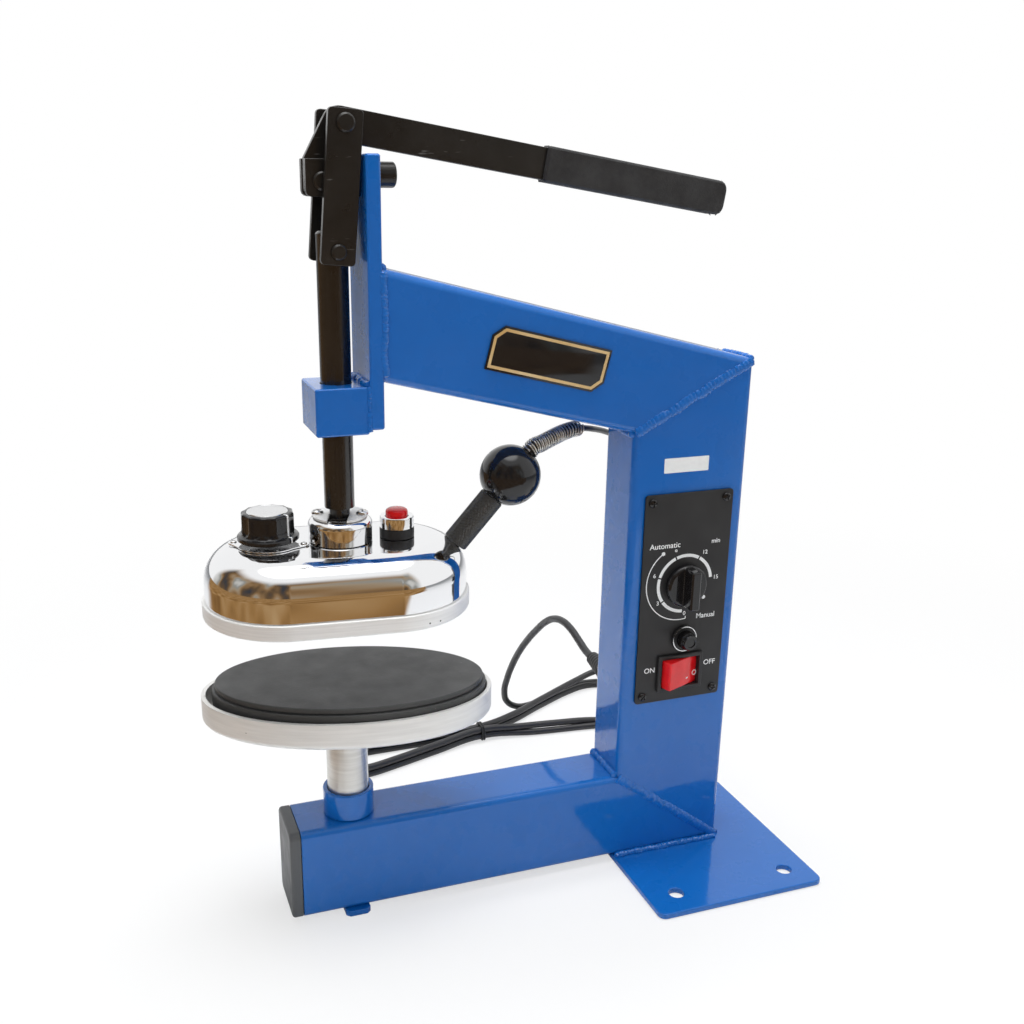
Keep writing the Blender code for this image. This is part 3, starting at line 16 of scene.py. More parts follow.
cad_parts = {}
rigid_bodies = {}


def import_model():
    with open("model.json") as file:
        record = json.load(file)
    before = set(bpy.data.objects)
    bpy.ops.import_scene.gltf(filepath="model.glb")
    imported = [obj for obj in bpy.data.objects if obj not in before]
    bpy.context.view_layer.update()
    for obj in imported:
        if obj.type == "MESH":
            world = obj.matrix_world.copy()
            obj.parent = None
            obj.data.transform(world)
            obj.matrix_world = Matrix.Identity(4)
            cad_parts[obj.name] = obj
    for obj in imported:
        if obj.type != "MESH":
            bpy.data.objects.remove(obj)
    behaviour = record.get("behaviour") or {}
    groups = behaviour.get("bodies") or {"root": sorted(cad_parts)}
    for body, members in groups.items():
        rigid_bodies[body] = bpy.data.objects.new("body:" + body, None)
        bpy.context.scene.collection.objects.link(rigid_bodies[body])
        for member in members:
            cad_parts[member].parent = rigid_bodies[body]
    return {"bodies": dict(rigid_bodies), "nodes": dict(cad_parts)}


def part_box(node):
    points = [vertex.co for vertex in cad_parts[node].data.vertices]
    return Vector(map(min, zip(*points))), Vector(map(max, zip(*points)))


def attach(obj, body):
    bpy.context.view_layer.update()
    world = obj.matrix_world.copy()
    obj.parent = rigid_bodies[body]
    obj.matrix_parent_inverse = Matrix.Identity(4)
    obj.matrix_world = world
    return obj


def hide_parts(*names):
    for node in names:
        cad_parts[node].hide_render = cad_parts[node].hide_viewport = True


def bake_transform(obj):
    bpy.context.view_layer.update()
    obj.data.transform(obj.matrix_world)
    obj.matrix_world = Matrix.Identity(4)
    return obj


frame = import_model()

MM = 0.001
scene = bpy.context.scene
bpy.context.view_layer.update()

# %% [markdown]
# ## The camera
#
# The photograph was taken from the front left, a little above. A camera could be placed by eye
# and nudged. This one is solved instead: the corners of the welded frame fix its place and lens,
# so the model lies over the photograph. The picture was cropped, which the lens shift repeats.

# %% The camera
YAW, PITCH, ROLL = 0.3475, 0.3143, 0.0104
LENS_PLACE = (-355.68, -623.28, 450.4)
FOCAL_PX, CENTRE_PX, IMAGE_PX = 1138.99, (483.0, 539.1), 1024
SENSOR = 36

ahead = Vector((math.sin(YAW) * math.cos(PITCH), math.cos(YAW) * math.cos(PITCH), -math.sin(PITCH)))
flat_right = Vector((math.cos(YAW), -math.sin(YAW), 0))
flat_up = flat_right.cross(ahead)
right = flat_right * math.cos(ROLL) + flat_up * math.sin(ROLL)
up = flat_up * math.cos(ROLL) - flat_right * math.sin(ROLL)
camera = bpy.data.objects.new("camera", bpy.data.cameras.new("camera"))
scene.collection.objects.link(camera)
camera.matrix_world = (Matrix.Translation(Vector(LENS_PLACE) * MM)
                       @ Matrix((right, up, -ahead)).transposed().to_4x4())
camera.data.sensor_width = SENSOR
camera.data.lens = FOCAL_PX * SENSOR / IMAGE_PX
camera.data.shift_x = (IMAGE_PX / 2 - CENTRE_PX[0]) / IMAGE_PX
camera.data.shift_y = (CENTRE_PX[1] - IMAGE_PX / 2) / IMAGE_PX
camera.data.clip_start = 10 * MM
scene.camera = camera
print("camera looks along", [round(v, 3) for v in ahead], "lens", round(camera.data.lens, 1), "mm")

# %% [markdown]
# ## Ways to wire nodes
#
# The world, the floor and every finish are node trees. Nodes can be drawn by hand in the editor.
# In a script, a few helpers keep the wiring short. One adds a node with its settings and inputs.
# Two join a pair of masks, one tells how far a place lies along a direction, and one fades a
# value in or out between two bounds.

# %% Ways to wire nodes
def add_node(tree, kind, settings=(), **sockets):
    """A node with some settings, and some sockets given as values or as other nodes' outputs."""
    node = tree.nodes.new(kind)
    for name, value in dict(settings).items():
        setattr(node, name, value)
    for name, value in sockets.items():
        numbered = name[0] == "n" and name[1:].isdigit()
        socket = node.inputs[int(name[1:]) if numbered else name]
        if isinstance(value, bpy.types.NodeSocket):
            tree.links.new(value, socket)
        else:
            socket.default_value = value
    return node


def either(tree, a, b):
    return add_node(tree, "ShaderNodeMath", {"operation": "MAXIMUM"}, n0=a, n1=b).outputs[0]


def both(tree, a, b):
    return add_node(tree, "ShaderNodeMath", {"operation": "MULTIPLY"}, n0=a, n1=b).outputs[0]


def along(tree, place, direction):
    return add_node(tree, "ShaderNodeVectorMath", {"operation": "DOT_PRODUCT"}, n0=place,
                    n1=direction).outputs["Value"]


def fade(tree, value, start, end, low=0.0, high=1.0):
    """A number that goes smoothly from low to high while a value goes from start to end."""
    node = add_node(tree, "ShaderNodeMapRange", {"interpolation_type": "SMOOTHSTEP"}, Value=value)
    for socket, number in (("From Min", start), ("From Max", end), ("To Min", low), ("To Max", high)):
        node.inputs[socket].default_value = number
    return node.outputs["Result"]


print("node tools ready")

# %% [markdown]
# ## The room that metal mirrors
#
# Chrome has no colour of its own, so it looks like plaster in a plain white room. The camera sees
# white here, but mirrors see a workshop: soft brown and grey shapes on the front left, under a
# white ceiling that glows overhead. A photograph of a real room could be wrapped round the scene.
# Blurred noise read through a row of colours does the same without any picture. The Light Path
# node tells the rays apart, so the light on the part stays plain, and a colour renders as written.

# %% The room that metal mirrors
WALLS = ((0.32, (0.04, 0.045, 0.055)), (0.42, (0.12, 0.075, 0.04)), (0.50, (0.27, 0.16, 0.075)),
         (0.57, (0.36, 0.28, 0.19)), (0.64, (0.28, 0.28, 0.26)), (0.74, (0.62, 0.61, 0.58)))
BOARDS = ((0.30, (0.17, 0.085, 0.03)), (0.50, (0.33, 0.18, 0.065)), (0.70, (0.45, 0.29, 0.14)))
WHITE = (1, 1, 1, 1)
PLAIN_LIGHT, DAYLIGHT = 0.3, (0.93, 0.96, 1, 1)
BEHIND = (0.75, 0.66, 0)
ROOM_ENDS = (-0.25, -0.05)
CEILING_STARTS = (0.66, 0.84)
GLOW_STARTS, GLOW_GAIN = (0.9, 0.98), 3


def workshop(tree, place, scale, stops):
    """Blurred shapes of a room, as metal mirrors them: noise, read through a row of colours."""
    blur = add_node(tree, "ShaderNodeTexNoise", Vector=place, Scale=scale, Detail=1.5)
    tones = add_node(tree, "ShaderNodeValToRGB", n0=blur.outputs["Fac"])
    elements = tones.color_ramp.elements
    for element, (position, colour) in zip(elements, (stops[0], stops[-1])):
        element.position, element.color = position, (*colour, 1)
    for position, colour in stops[1:-1]:
        elements.new(position).color = (*colour, 1)
    return tones.outputs["Color"]


scene.view_settings.view_transform = "Standard"
scene.world = bpy.data.worlds.new("studio")
scene.world.use_nodes = True
sky = scene.world.node_tree
even = sky.nodes["Background"]
even.inputs["Color"].default_value = DAYLIGHT
even.inputs["Strength"].default_value = PLAIN_LIGHT
rays = add_node(sky, "ShaderNodeLightPath").outputs
direct = either(sky, rays["Is Camera Ray"], rays["Is Transmission Ray"])
direction = add_node(sky, "ShaderNodeTexCoord").outputs["Generated"]
height = add_node(sky, "ShaderNodeSeparateXYZ", Vector=direction).outputs["Z"]
plain = either(sky, fade(sky, height, *CEILING_STARTS),
               fade(sky, along(sky, direction, BEHIND), *ROOM_ENDS))
tall = add_node(sky, "ShaderNodeMapping", {"vector_type": "POINT"}, Vector=direction)
tall.inputs["Scale"].default_value = (1, 1, 0.3)
room = add_node(sky, "ShaderNodeMix", {"data_type": "RGBA"})
sky.links.new(either(sky, direct, plain), room.inputs["Factor"])
sky.links.new(workshop(sky, tall.outputs["Vector"], 3, WALLS), room.inputs["A"])
room.inputs["B"].default_value = WHITE
glow = add_node(sky, "ShaderNodeMath", {"operation": "MULTIPLY_ADD"}, n0=fade(sky, height, *GLOW_STARTS),
                n1=GLOW_GAIN, n2=1).outputs["Value"]
seen = add_node(sky, "ShaderNodeBackground", Color=room.outputs["Result"], Strength=glow)
chosen = add_node(sky, "ShaderNodeMixShader", n0=either(sky, direct, rays["Is Glossy Ray"]),
                  n1=even.outputs[0], n2=seen.outputs[0])
sky.links.new(chosen.outputs[0], sky.nodes["World Output"].inputs["Surface"])
print("world of", len(sky.nodes), "nodes, with an even light of", PLAIN_LIGHT)

# %% [markdown]
# ## Lamps
#
# Three large soft boxes light the part: one from the front left, a weaker one from the front
# right, and one overhead, which draws the shadow on the floor. Small lamps would give hard
# shadows. They are hidden from mirrors, because a lamp's hard rectangle looks false in chrome
# beside the soft room.

# %% Lamps
def softbox(name, place, aim, width, height, watts):
    """Area lamp at one point, turned to another, in metres."""
    lamp = bpy.data.lights.new(name, "AREA")
    lamp.shape = "RECTANGLE"
    lamp.size, lamp.size_y, lamp.energy = width, height, watts
    obj = bpy.data.objects.new(name, lamp)
    scene.collection.objects.link(obj)
    obj.location = place
    obj.rotation_euler = (Vector(aim) - Vector(place)).to_track_quat("-Z", "Y").to_euler()
    obj.visible_glossy = False


softbox("key_softbox", (-1.1, -1.2, 1.3), (-0.1, 0, 0.2), 0.9, 0.9, 6)
softbox("fill_softbox", (1.1, -1.1, 0.7), (0, 0, 0.2), 0.7, 1.0, 2.5)
softbox("top_softbox", (-0.1, 0.1, 1.5), (-0.1, 0, 0.2), 1.1, 0.8, 22)
print("lamps:", [round(lamp.energy, 1) for lamp in bpy.data.lights], "watts")

# %% [markdown]
# ## The floor
#
# The floor is plain and pale. Near the part it takes light and shadow. Further out it turns into
# even white for the camera, so that no horizon shows. Mirrors see it as a round white sheet on
# warm boards, on the same side as the room.

# %% Floor
FLOOR_HALF, FLOOR_DROP = 30, 0.3 * MM
WHITENS_FROM, WHITENS_TO, WHITE_SHARE = 0.1, 0.9, 0.62
SHEET_CENTRE, SHEET_EDGE = (0.40, 0.1, 0), (0.79, 0.85)

floor_bm = bmesh.new()
bmesh.ops.create_grid(floor_bm, x_segments=1, y_segments=1, size=FLOOR_HALF)
bmesh.ops.translate(floor_bm, vec=(0, 0, -FLOOR_DROP), verts=floor_bm.verts)
floor_mesh = bpy.data.meshes.new("floor")
floor_bm.to_mesh(floor_mesh)
floor_bm.free()
floor = bpy.data.objects.new("floor", floor_mesh)
scene.collection.objects.link(floor)

paper = bpy.data.materials.new("pale_floor")
paper.use_nodes = True
tree = paper.node_tree
matt = tree.nodes["Principled BSDF"]
matt.inputs["Base Color"].default_value = (0.9, 0.9, 0.9, 1)
matt.inputs["Roughness"].default_value = 0.9
matt.inputs["Specular IOR Level"].default_value = 0.1
rays = add_node(tree, "ShaderNodeLightPath").outputs
place = add_node(tree, "ShaderNodeTexCoord").outputs["Object"]
distance = add_node(tree, "ShaderNodeVectorMath", {"operation": "LENGTH"}, n0=place).outputs["Value"]
from_sheet = add_node(tree, "ShaderNodeVectorMath", {"operation": "DISTANCE"}, n0=place,
                      n1=SHEET_CENTRE).outputs["Value"]
whiten = both(tree, either(tree, rays["Is Camera Ray"], rays["Is Transmission Ray"]),
              fade(tree, distance, WHITENS_FROM, WHITENS_TO, WHITE_SHARE, 1))
darken = both(tree, both(tree, rays["Is Glossy Ray"], fade(tree, from_sheet, *SHEET_EDGE)),
              fade(tree, along(tree, place, BEHIND), *ROOM_ENDS, 1, 0))
white = add_node(tree, "ShaderNodeEmission", Strength=1)
boards = add_node(tree, "ShaderNodeEmission", Strength=1, Color=workshop(tree, place, 5, BOARDS))
pale = add_node(tree, "ShaderNodeMixShader", n0=whiten, n1=matt.outputs[0], n2=white.outputs[0])
whole = add_node(tree, "ShaderNodeMixShader", n0=darken, n1=pale.outputs[0], n2=boards.outputs[0])
tree.links.new(whole.outputs[0], tree.nodes["Material Output"].inputs["Surface"])
floor.data.materials.append(paper)
print("floor added,", 2 * FLOOR_HALF, "m square")

# %% [markdown]
# ## Ways to build a finish
#
# A finish could be one colour with one gloss. Real surfaces vary a little everywhere, and that
# is what the eye reads as paint, casting or rubber. Each finish here is a Principled shader with
# its plain values on its own sockets, and noise in the object's own space for what varies:
# gloss, tone and relief. The noise covers most of its range between 0.3 and 0.7.

# %% Ways to build a finish
def new_finish(name, colour, roughness, metallic=0.0, coat=0.0, coat_roughness=0.03, shine=0.5):
    finish = bpy.data.materials.new(name)
    finish.use_nodes = True
    sockets = finish.node_tree.nodes["Principled BSDF"].inputs
    sockets["Base Color"].default_value = (*colour, 1)
    sockets["Roughness"].default_value = roughness
    sockets["Metallic"].default_value = metallic
    sockets["Specular IOR Level"].default_value = shine
    sockets["Coat Weight"].default_value = coat
    sockets["Coat Roughness"].default_value = coat_roughness
    return finish


def grain(finish, per_metre, detail, stretch=(1, 1, 1)):
    """Noise in the piece's own space; a stretch under 1 draws it out along that axis."""
    tree = finish.node_tree
    place = add_node(tree, "ShaderNodeTexCoord").outputs["Object"]
    mapping = add_node(tree, "ShaderNodeMapping", Vector=place, Scale=stretch)
    cloud = add_node(tree, "ShaderNodeTexNoise", Vector=mapping.outputs["Vector"], Scale=per_metre,
                     Detail=detail)
    return cloud.outputs["Fac"]


def spread(finish, source, to_low, to_high, low=0.3, high=0.7):
    """Stretch a noise's middle range over the values that a finish takes."""
    node = add_node(finish.node_tree, "ShaderNodeMapRange", Value=source)
    for socket, value in (("From Min", low), ("From Max", high), ("To Min", to_low), ("To Max", to_high)):
        node.inputs[socket].default_value = value
    return node.outputs["Result"]


def vary_gloss(finish, source, smooth, rough):
    shader = finish.node_tree.nodes["Principled BSDF"]
    finish.node_tree.links.new(spread(finish, source, smooth, rough), shader.inputs["Roughness"])


def vary_tone(finish, source, first, second, low=0.3, high=0.7):
    """Blend two colours by a noise, over the colour that is there already if first is None."""
    tree = finish.node_tree
    shader = tree.nodes["Principled BSDF"]
    mix = add_node(tree, "ShaderNodeMix", {"data_type": "RGBA"})
    tree.links.new(spread(finish, source, 0, 1, low, high), mix.inputs["Factor"])
    if first is None:
        tree.links.new(shader.inputs["Base Color"].links[0].from_socket, mix.inputs["A"])
    else:
        mix.inputs["A"].default_value = (*first, 1)
    mix.inputs["B"].default_value = (*second, 1)
    tree.links.new(mix.outputs["Result"], shader.inputs["Base Color"])


def emboss(finish, source, depth):
    """Relief of a depth in metres, added to the relief that is there already."""
    tree = finish.node_tree
    shader = tree.nodes["Principled BSDF"]
    bump = add_node(tree, "ShaderNodeBump", Distance=depth, Height=source)
    if shader.inputs["Normal"].links:
        tree.links.new(shader.inputs["Normal"].links[0].from_socket, bump.inputs["Normal"])
    tree.links.new(bump.outputs["Normal"], shader.inputs["Normal"])
    if shader.inputs["Coat Weight"].default_value:
        tree.links.new(bump.outputs["Normal"], shader.inputs["Coat Normal"])


def made(*finishes):
    print("made", ", ".join(f"{f.name} of {len(f.node_tree.nodes)} nodes" for f in finishes))


print("finish tools ready")

# %% [markdown]
# ## Paint
#
# The frame is sprayed with a thick gloss enamel, which dries with a fine orange peel: a coat
# over the colour, with one fine relief and one broad one. The linkage has a thinner satin black,
# worn to grey in short lines, and the rod is blackened and oiled. Its grain runs along it.

# %% Blue enamel
blue_enamel = new_finish("blue_enamel", (0.005, 0.134, 0.49), 0.3, coat=0.9, coat_roughness=0.04,
                         shine=0.1)
vary_tone(blue_enamel, grain(blue_enamel, 9, 2), (0.004, 0.127, 0.47), (0.006, 0.142, 0.51))
vary_gloss(blue_enamel, grain(blue_enamel, 60, 4), 0.22, 0.36)
emboss(blue_enamel, grain(blue_enamel, 420, 2), 0.035 * MM)
emboss(blue_enamel, grain(blue_enamel, 45, 2), 0.12 * MM)
made(blue_enamel)

# %% Black paint on the linkage
black_paint = new_finish("black_paint", (0.013, 0.012, 0.011), 0.34, coat=0.4, coat_roughness=0.16,
                         shine=0.25)
vary_tone(black_paint, grain(black_paint, 35, 6), (0.010, 0.009, 0.008), (0.020, 0.018, 0.016))
vary_tone(black_paint, grain(black_paint, 500, 2, (0.15, 1, 1)), None, (0.10, 0.095, 0.09), 0.72, 0.80)
vary_gloss(black_paint, grain(black_paint, 120, 5), 0.26, 0.46)
emboss(black_paint, grain(black_paint, 800, 3), 0.03 * MM)
made(black_paint)

# %% Oiled black rod
rod_black = new_finish("rod_black", (0.012, 0.011, 0.010), 0.22, metallic=0.3, coat=0.6, coat_roughness=0.08)
vary_tone(rod_black, grain(rod_black, 300, 3, (1, 1, 0.06)), (0.009, 0.008, 0.008), (0.022, 0.020, 0.018))
vary_gloss(rod_black, grain(rod_black, 160, 4, (1, 1, 0.2)), 0.14, 0.34)
emboss(rod_black, grain(rod_black, 1400, 2, (0.1, 0.1, 1)), 0.01 * MM)
made(rod_black)

# %% [markdown]
# ## Bare metal
#
# Chrome mirrors the room, but pressed sheet is never quite flat, so a broad, shallow relief lets
# its reflections wander. The aluminium of the heated plate and the tray is softer and paler than
# a pure metal shader gives, so it is metal only in part. Brushed and turned faces keep the lines
# of their tools: noise that is drawn out level, round the piece.

# %% Mirror chrome
mirror_chrome = new_finish("mirror_chrome", (0.86, 0.865, 0.875), 0.05, metallic=1.0)
vary_gloss(mirror_chrome, grain(mirror_chrome, 45, 6), 0.035, 0.10)
emboss(mirror_chrome, grain(mirror_chrome, 22, 1), 0.35 * MM)
made(mirror_chrome)

# %% Brushed and cast aluminium
brushed_plate = new_finish("brushed_plate", (0.95, 0.945, 0.93), 0.5, metallic=0.45)
vary_tone(brushed_plate, grain(brushed_plate, 900, 2, (0.03, 0.03, 1)), (0.88, 0.88, 0.87),
          (0.97, 0.97, 0.96))
vary_gloss(brushed_plate, grain(brushed_plate, 60, 4), 0.44, 0.6)
emboss(brushed_plate, grain(brushed_plate, 1600, 2, (0.04, 0.04, 1)), 0.03 * MM)

cast_tray = new_finish("cast_tray", (0.95, 0.945, 0.93), 0.5, metallic=0.45)
vary_tone(cast_tray, grain(cast_tray, 500, 3, (0.06, 0.06, 1)), (0.80, 0.795, 0.775), (0.89, 0.885, 0.865))
vary_tone(cast_tray, grain(cast_tray, 260, 1), None, (0.30, 0.29, 0.28), 0.80, 0.82)
vary_gloss(cast_tray, grain(cast_tray, 90, 5), 0.42, 0.6)
emboss(cast_tray, grain(cast_tray, 1100, 3, (0.1, 0.1, 1)), 0.04 * MM)
made(brushed_plate, cast_tray)

# %% Bright steel
turned_steel = new_finish("turned_steel", (0.66, 0.65, 0.62), 0.34, metallic=0.9)
vary_tone(turned_steel, grain(turned_steel, 700, 3, (0.05, 0.05, 1)), (0.60, 0.59, 0.56), (0.70, 0.69, 0.66))
vary_tone(turned_steel, grain(turned_steel, 45, 5), None, (0.50, 0.48, 0.45), 0.6, 0.85)
vary_gloss(turned_steel, grain(turned_steel, 80, 5), 0.28, 0.42)
emboss(turned_steel, grain(turned_steel, 1500, 2, (0.05, 0.05, 1)), 0.02 * MM)

bright_plate = new_finish("bright_plate", (0.74, 0.745, 0.75), 0.2, metallic=1.0)
vary_gloss(bright_plate, grain(bright_plate, 150, 5), 0.14, 0.3)
emboss(bright_plate, grain(bright_plate, 300, 3), 0.03 * MM)
made(turned_steel, bright_plate)

# %% [markdown]
# ## Rubber and plastics
#
# The pad and the grip are matt rubber with a fine tooth. Knobs are polished mouldings with a
# little dust, and the panel and its trim are finely textured. The switch and the button are
# clear red plastic, which lets a little light in under its surface.

# %% Rubber
pad_rubber = new_finish("pad_rubber", (0.052, 0.053, 0.053), 0.42)
vary_tone(pad_rubber, grain(pad_rubber, 22, 5), (0.044, 0.045, 0.045), (0.062, 0.063, 0.063))
vary_tone(pad_rubber, grain(pad_rubber, 900, 1), None, (0.12, 0.12, 0.12), 0.74, 0.80)
vary_gloss(pad_rubber, grain(pad_rubber, 70, 4), 0.36, 0.5)
emboss(pad_rubber, grain(pad_rubber, 700, 4), 0.06 * MM)

grip_rubber = new_finish("grip_rubber", (0.022, 0.022, 0.023), 0.62)
vary_tone(grip_rubber, grain(grip_rubber, 60, 5), (0.018, 0.018, 0.019), (0.034, 0.034, 0.035))
vary_gloss(grip_rubber, grain(grip_rubber, 300, 3), 0.52, 0.72)
emboss(grip_rubber, grain(grip_rubber, 1300, 4), 0.16 * MM)

cord_sheath = new_finish("cord_sheath", (0.022, 0.022, 0.024), 0.34)
vary_gloss(cord_sheath, grain(cord_sheath, 160, 3), 0.28, 0.42)
emboss(cord_sheath, grain(cord_sheath, 500, 2), 0.02 * MM)
made(pad_rubber, grip_rubber, cord_sheath)

# %% Black plastics
gloss_black = new_finish("gloss_black", (0.010, 0.010, 0.011), 0.10, coat=0.3, coat_roughness=0.04,
                         shine=0.35)
vary_gloss(gloss_black, grain(gloss_black, 90, 4), 0.07, 0.16)
vary_tone(gloss_black, grain(gloss_black, 1300, 1), (0.010, 0.010, 0.011), (0.09, 0.09, 0.09), 0.78, 0.83)
emboss(gloss_black, grain(gloss_black, 55, 2), 0.05 * MM)

matt_black = new_finish("matt_black", (0.020, 0.020, 0.021), 0.44, shine=0.4)
vary_tone(matt_black, grain(matt_black, 50, 4), (0.017, 0.017, 0.018), (0.025, 0.025, 0.026))
vary_gloss(matt_black, grain(matt_black, 200, 3), 0.38, 0.52)
emboss(matt_black, grain(matt_black, 2200, 2), 0.03 * MM)

cap_plastic = new_finish("cap_plastic", (0.098, 0.103, 0.107), 0.45)
vary_gloss(cap_plastic, grain(cap_plastic, 90, 4), 0.38, 0.55)

knurl_black = new_finish("knurl_black", (0.04, 0.04, 0.038), 0.3, shine=0.6)
vary_gloss(knurl_black, grain(knurl_black, 400, 3), 0.24, 0.4)
made(gloss_black, matt_black, cap_plastic, knurl_black)

# %% Clear red plastic and white ceramic
red_clear = new_finish("red_clear", (0.78, 0.010, 0.014), 0.2, coat=0.3, coat_roughness=0.05, shine=0.25)
red_clear.node_tree.nodes["Principled BSDF"].inputs["Subsurface Weight"].default_value = 0.25
red_clear.node_tree.nodes["Principled BSDF"].inputs["Subsurface Scale"].default_value = 3 * MM
vary_tone(red_clear, grain(red_clear, 120, 3), (0.72, 0.007, 0.011), (0.84, 0.014, 0.018))
vary_gloss(red_clear, grain(red_clear, 300, 3), 0.12, 0.22)

white_ceramic = new_finish("white_ceramic", (0.75, 0.74, 0.70), 0.6)
vary_gloss(white_ceramic, grain(white_ceramic, 200, 3), 0.5, 0.7)
made(red_clear, white_ceramic)

# %% Print, label and gold line
white_ink = new_finish("white_ink", (0.93, 0.93, 0.92), 0.5)
vary_tone(white_ink, grain(white_ink, 900, 3), (0.90, 0.90, 0.89), (0.96, 0.96, 0.95))

label_paper = new_finish("label_paper", (0.92, 0.92, 0.90), 0.4)
vary_tone(label_paper, grain(label_paper, 400, 5), (0.89, 0.89, 0.87), (0.95, 0.95, 0.93))

gold_line = new_finish("gold_line", (0.82, 0.58, 0.26), 0.36, metallic=0.35)
vary_tone(gold_line, grain(gold_line, 25, 1), (0.76, 0.48, 0.18), (0.90, 0.72, 0.42))
vary_gloss(gold_line, grain(gold_line, 500, 3), 0.3, 0.44)
made(white_ink, label_paper, gold_line)

# %% [markdown]
# ## Ways to build a piece
#
# Most of this machine is sawn plate, bar and turned parts. In bmesh a plate is an outline that
# is extruded, and a turned part is a profile spun once round. Both keep the CAD's own sizes, and
# get more sides and rounded edges, which catch the light as real edges do.

# %% Places, and finished pieces
CRISP = math.radians(35)
SEAM = 0.001 * MM


def at(x, y, z):
    return Matrix.Translation(Vector((x, y, z)) * MM)


def turn(degrees, axis):
    return Matrix.Rotation(math.radians(degrees), 4, axis)


def moved(bm, *matrices):
    """Move a bmesh by each matrix in turn, the last one first."""
    whole = Matrix.Identity(4)
    for matrix in matrices:
        whole = whole @ matrix
    bmesh.ops.transform(bm, matrix=whole, verts=bm.verts)
    return bm


def join(*parts):
    """Several bmeshes as one."""
    whole = bmesh.new()
    for part in parts:
        mesh = bpy.data.meshes.new("part")
        part.to_mesh(mesh)
        part.free()
        whole.from_mesh(mesh)
        bpy.data.meshes.remove(mesh)
    return whole


def add_piece(name, bm, finish, body=None, replaces=()):
    """Turn a bmesh into a piece: seams merged, faces out, round sides smooth."""
    bmesh.ops.remove_doubles(bm, verts=bm.verts, dist=SEAM)
    bmesh.ops.recalc_face_normals(bm, faces=bm.faces)
    if bm.calc_volume(signed=True) < 0:
        bmesh.ops.reverse_faces(bm, faces=bm.faces)
    mesh = bpy.data.meshes.new(name)
    bm.to_mesh(mesh)
    bm.free()
    mesh.shade_smooth()
    mesh.set_sharp_from_angle(angle=CRISP)
    mesh.materials.append(finish)
    obj = bpy.data.objects.new(name, mesh)
    scene.collection.objects.link(obj)
    if body:
        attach(obj, body)
    if replaces:
        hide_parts(*replaces)
    return obj


def even_shading(obj):
    """Keep large flats flat where they meet small round edges."""
    obj.modifiers.new("even_shading", "WEIGHTED_NORMAL").keep_sharp = True
    return obj


print("place tools ready")

# %% Plates and turned parts
def round_edges(bm, width, segments=3, only=None, least=math.radians(30)):
    """Bevel the edges that are sharper than an angle."""
    bm.normal_update()
    edges = [e for e in bm.edges if e.is_manifold and e.calc_face_angle(0) > least
             and (only is None or only(e))]
    bmesh.ops.bevel(bm, geom=edges, offset=width, segments=segments, profile=0.5,
                    affect="EDGES", material=-1)


def turned(profile, sides=72, closed=False):
    """Spin a profile of (radius, height) once round Z."""
    bm = bmesh.new()
    verts = [bm.verts.new((r * MM, 0, z * MM)) for r, z in profile]
    edges = [bm.edges.new(pair) for pair in zip(verts, verts[1:])]
    if closed:
        edges.append(bm.edges.new((verts[-1], verts[0])))
    bmesh.ops.spin(bm, geom=verts + edges, cent=(0, 0, 0), axis=(0, 0, 1), angle=math.tau,
                   steps=sides, use_merge=True)
    bmesh.ops.remove_doubles(bm, verts=bm.verts, dist=SEAM)
    bmesh.ops.recalc_face_normals(bm, faces=bm.faces)
    return bm


def thicken(bm, height):
    """Extrude a flat bmesh along +Z into a closed plate."""
    grown = bmesh.ops.extrude_face_region(bm, geom=bm.faces[:])["geom"]
    bmesh.ops.translate(bm, verts=[v for v in grown if isinstance(v, bmesh.types.BMVert)],
                        vec=(0, 0, height * MM))
    bmesh.ops.recalc_face_normals(bm, faces=bm.faces)
    return bm


def disc(radius, sides):
    bm = bmesh.new()
    bmesh.ops.create_circle(bm, cap_ends=True, radius=radius * MM, segments=sides)
    return bm


def stadium(half_length, half_width, sides):
    """Outline with round ends: a disc pulled apart along X."""
    bm = disc(half_width, sides)
    for v in bm.verts:
        if abs(v.co.x) > SEAM:
            v.co.x += math.copysign((half_length - half_width) * MM, v.co.x)
    return bm


def oval(half_length, half_width, sides):
    bm = disc(1 / MM, sides)
    bmesh.ops.scale(bm, vec=(half_length * MM, half_width * MM, 1), verts=bm.verts)
    return bm


def rounded_rectangle(width, depth, radius):
    bm = bmesh.new()
    bmesh.ops.create_grid(bm, x_segments=1, y_segments=1, size=0.5 * MM)
    bmesh.ops.scale(bm, vec=(width, depth, 1), verts=bm.verts)
    bmesh.ops.bevel(bm, geom=bm.verts[:], offset=radius * MM, segments=5, profile=0.5,
                    affect="VERTICES", material=-1)
    return bm


def box(x0, x1, y0, y1, z0, z1):
    bm = bmesh.new()
    bmesh.ops.create_cube(bm, size=1)
    bmesh.ops.scale(bm, vec=Vector((x1 - x0, y1 - y0, z1 - z0)) * MM, verts=bm.verts)
    bmesh.ops.translate(bm, vec=Vector((x0 + x1, y0 + y1, z0 + z1)) / 2 * MM, verts=bm.verts)
    return bm


print("plate and turning tools ready")

# %% [markdown]
# ## Cords, wires and beads
#
# Anything long and thin is a curve with a round section. A curve keeps an even thickness round
# every bend, and a radius at each point lets a weld bead swell and shrink. A smooth curve through
# a few measured points gives the evenly spaced points that it needs.

# %% Cords, wires and beads
FINE_STEPS = 16


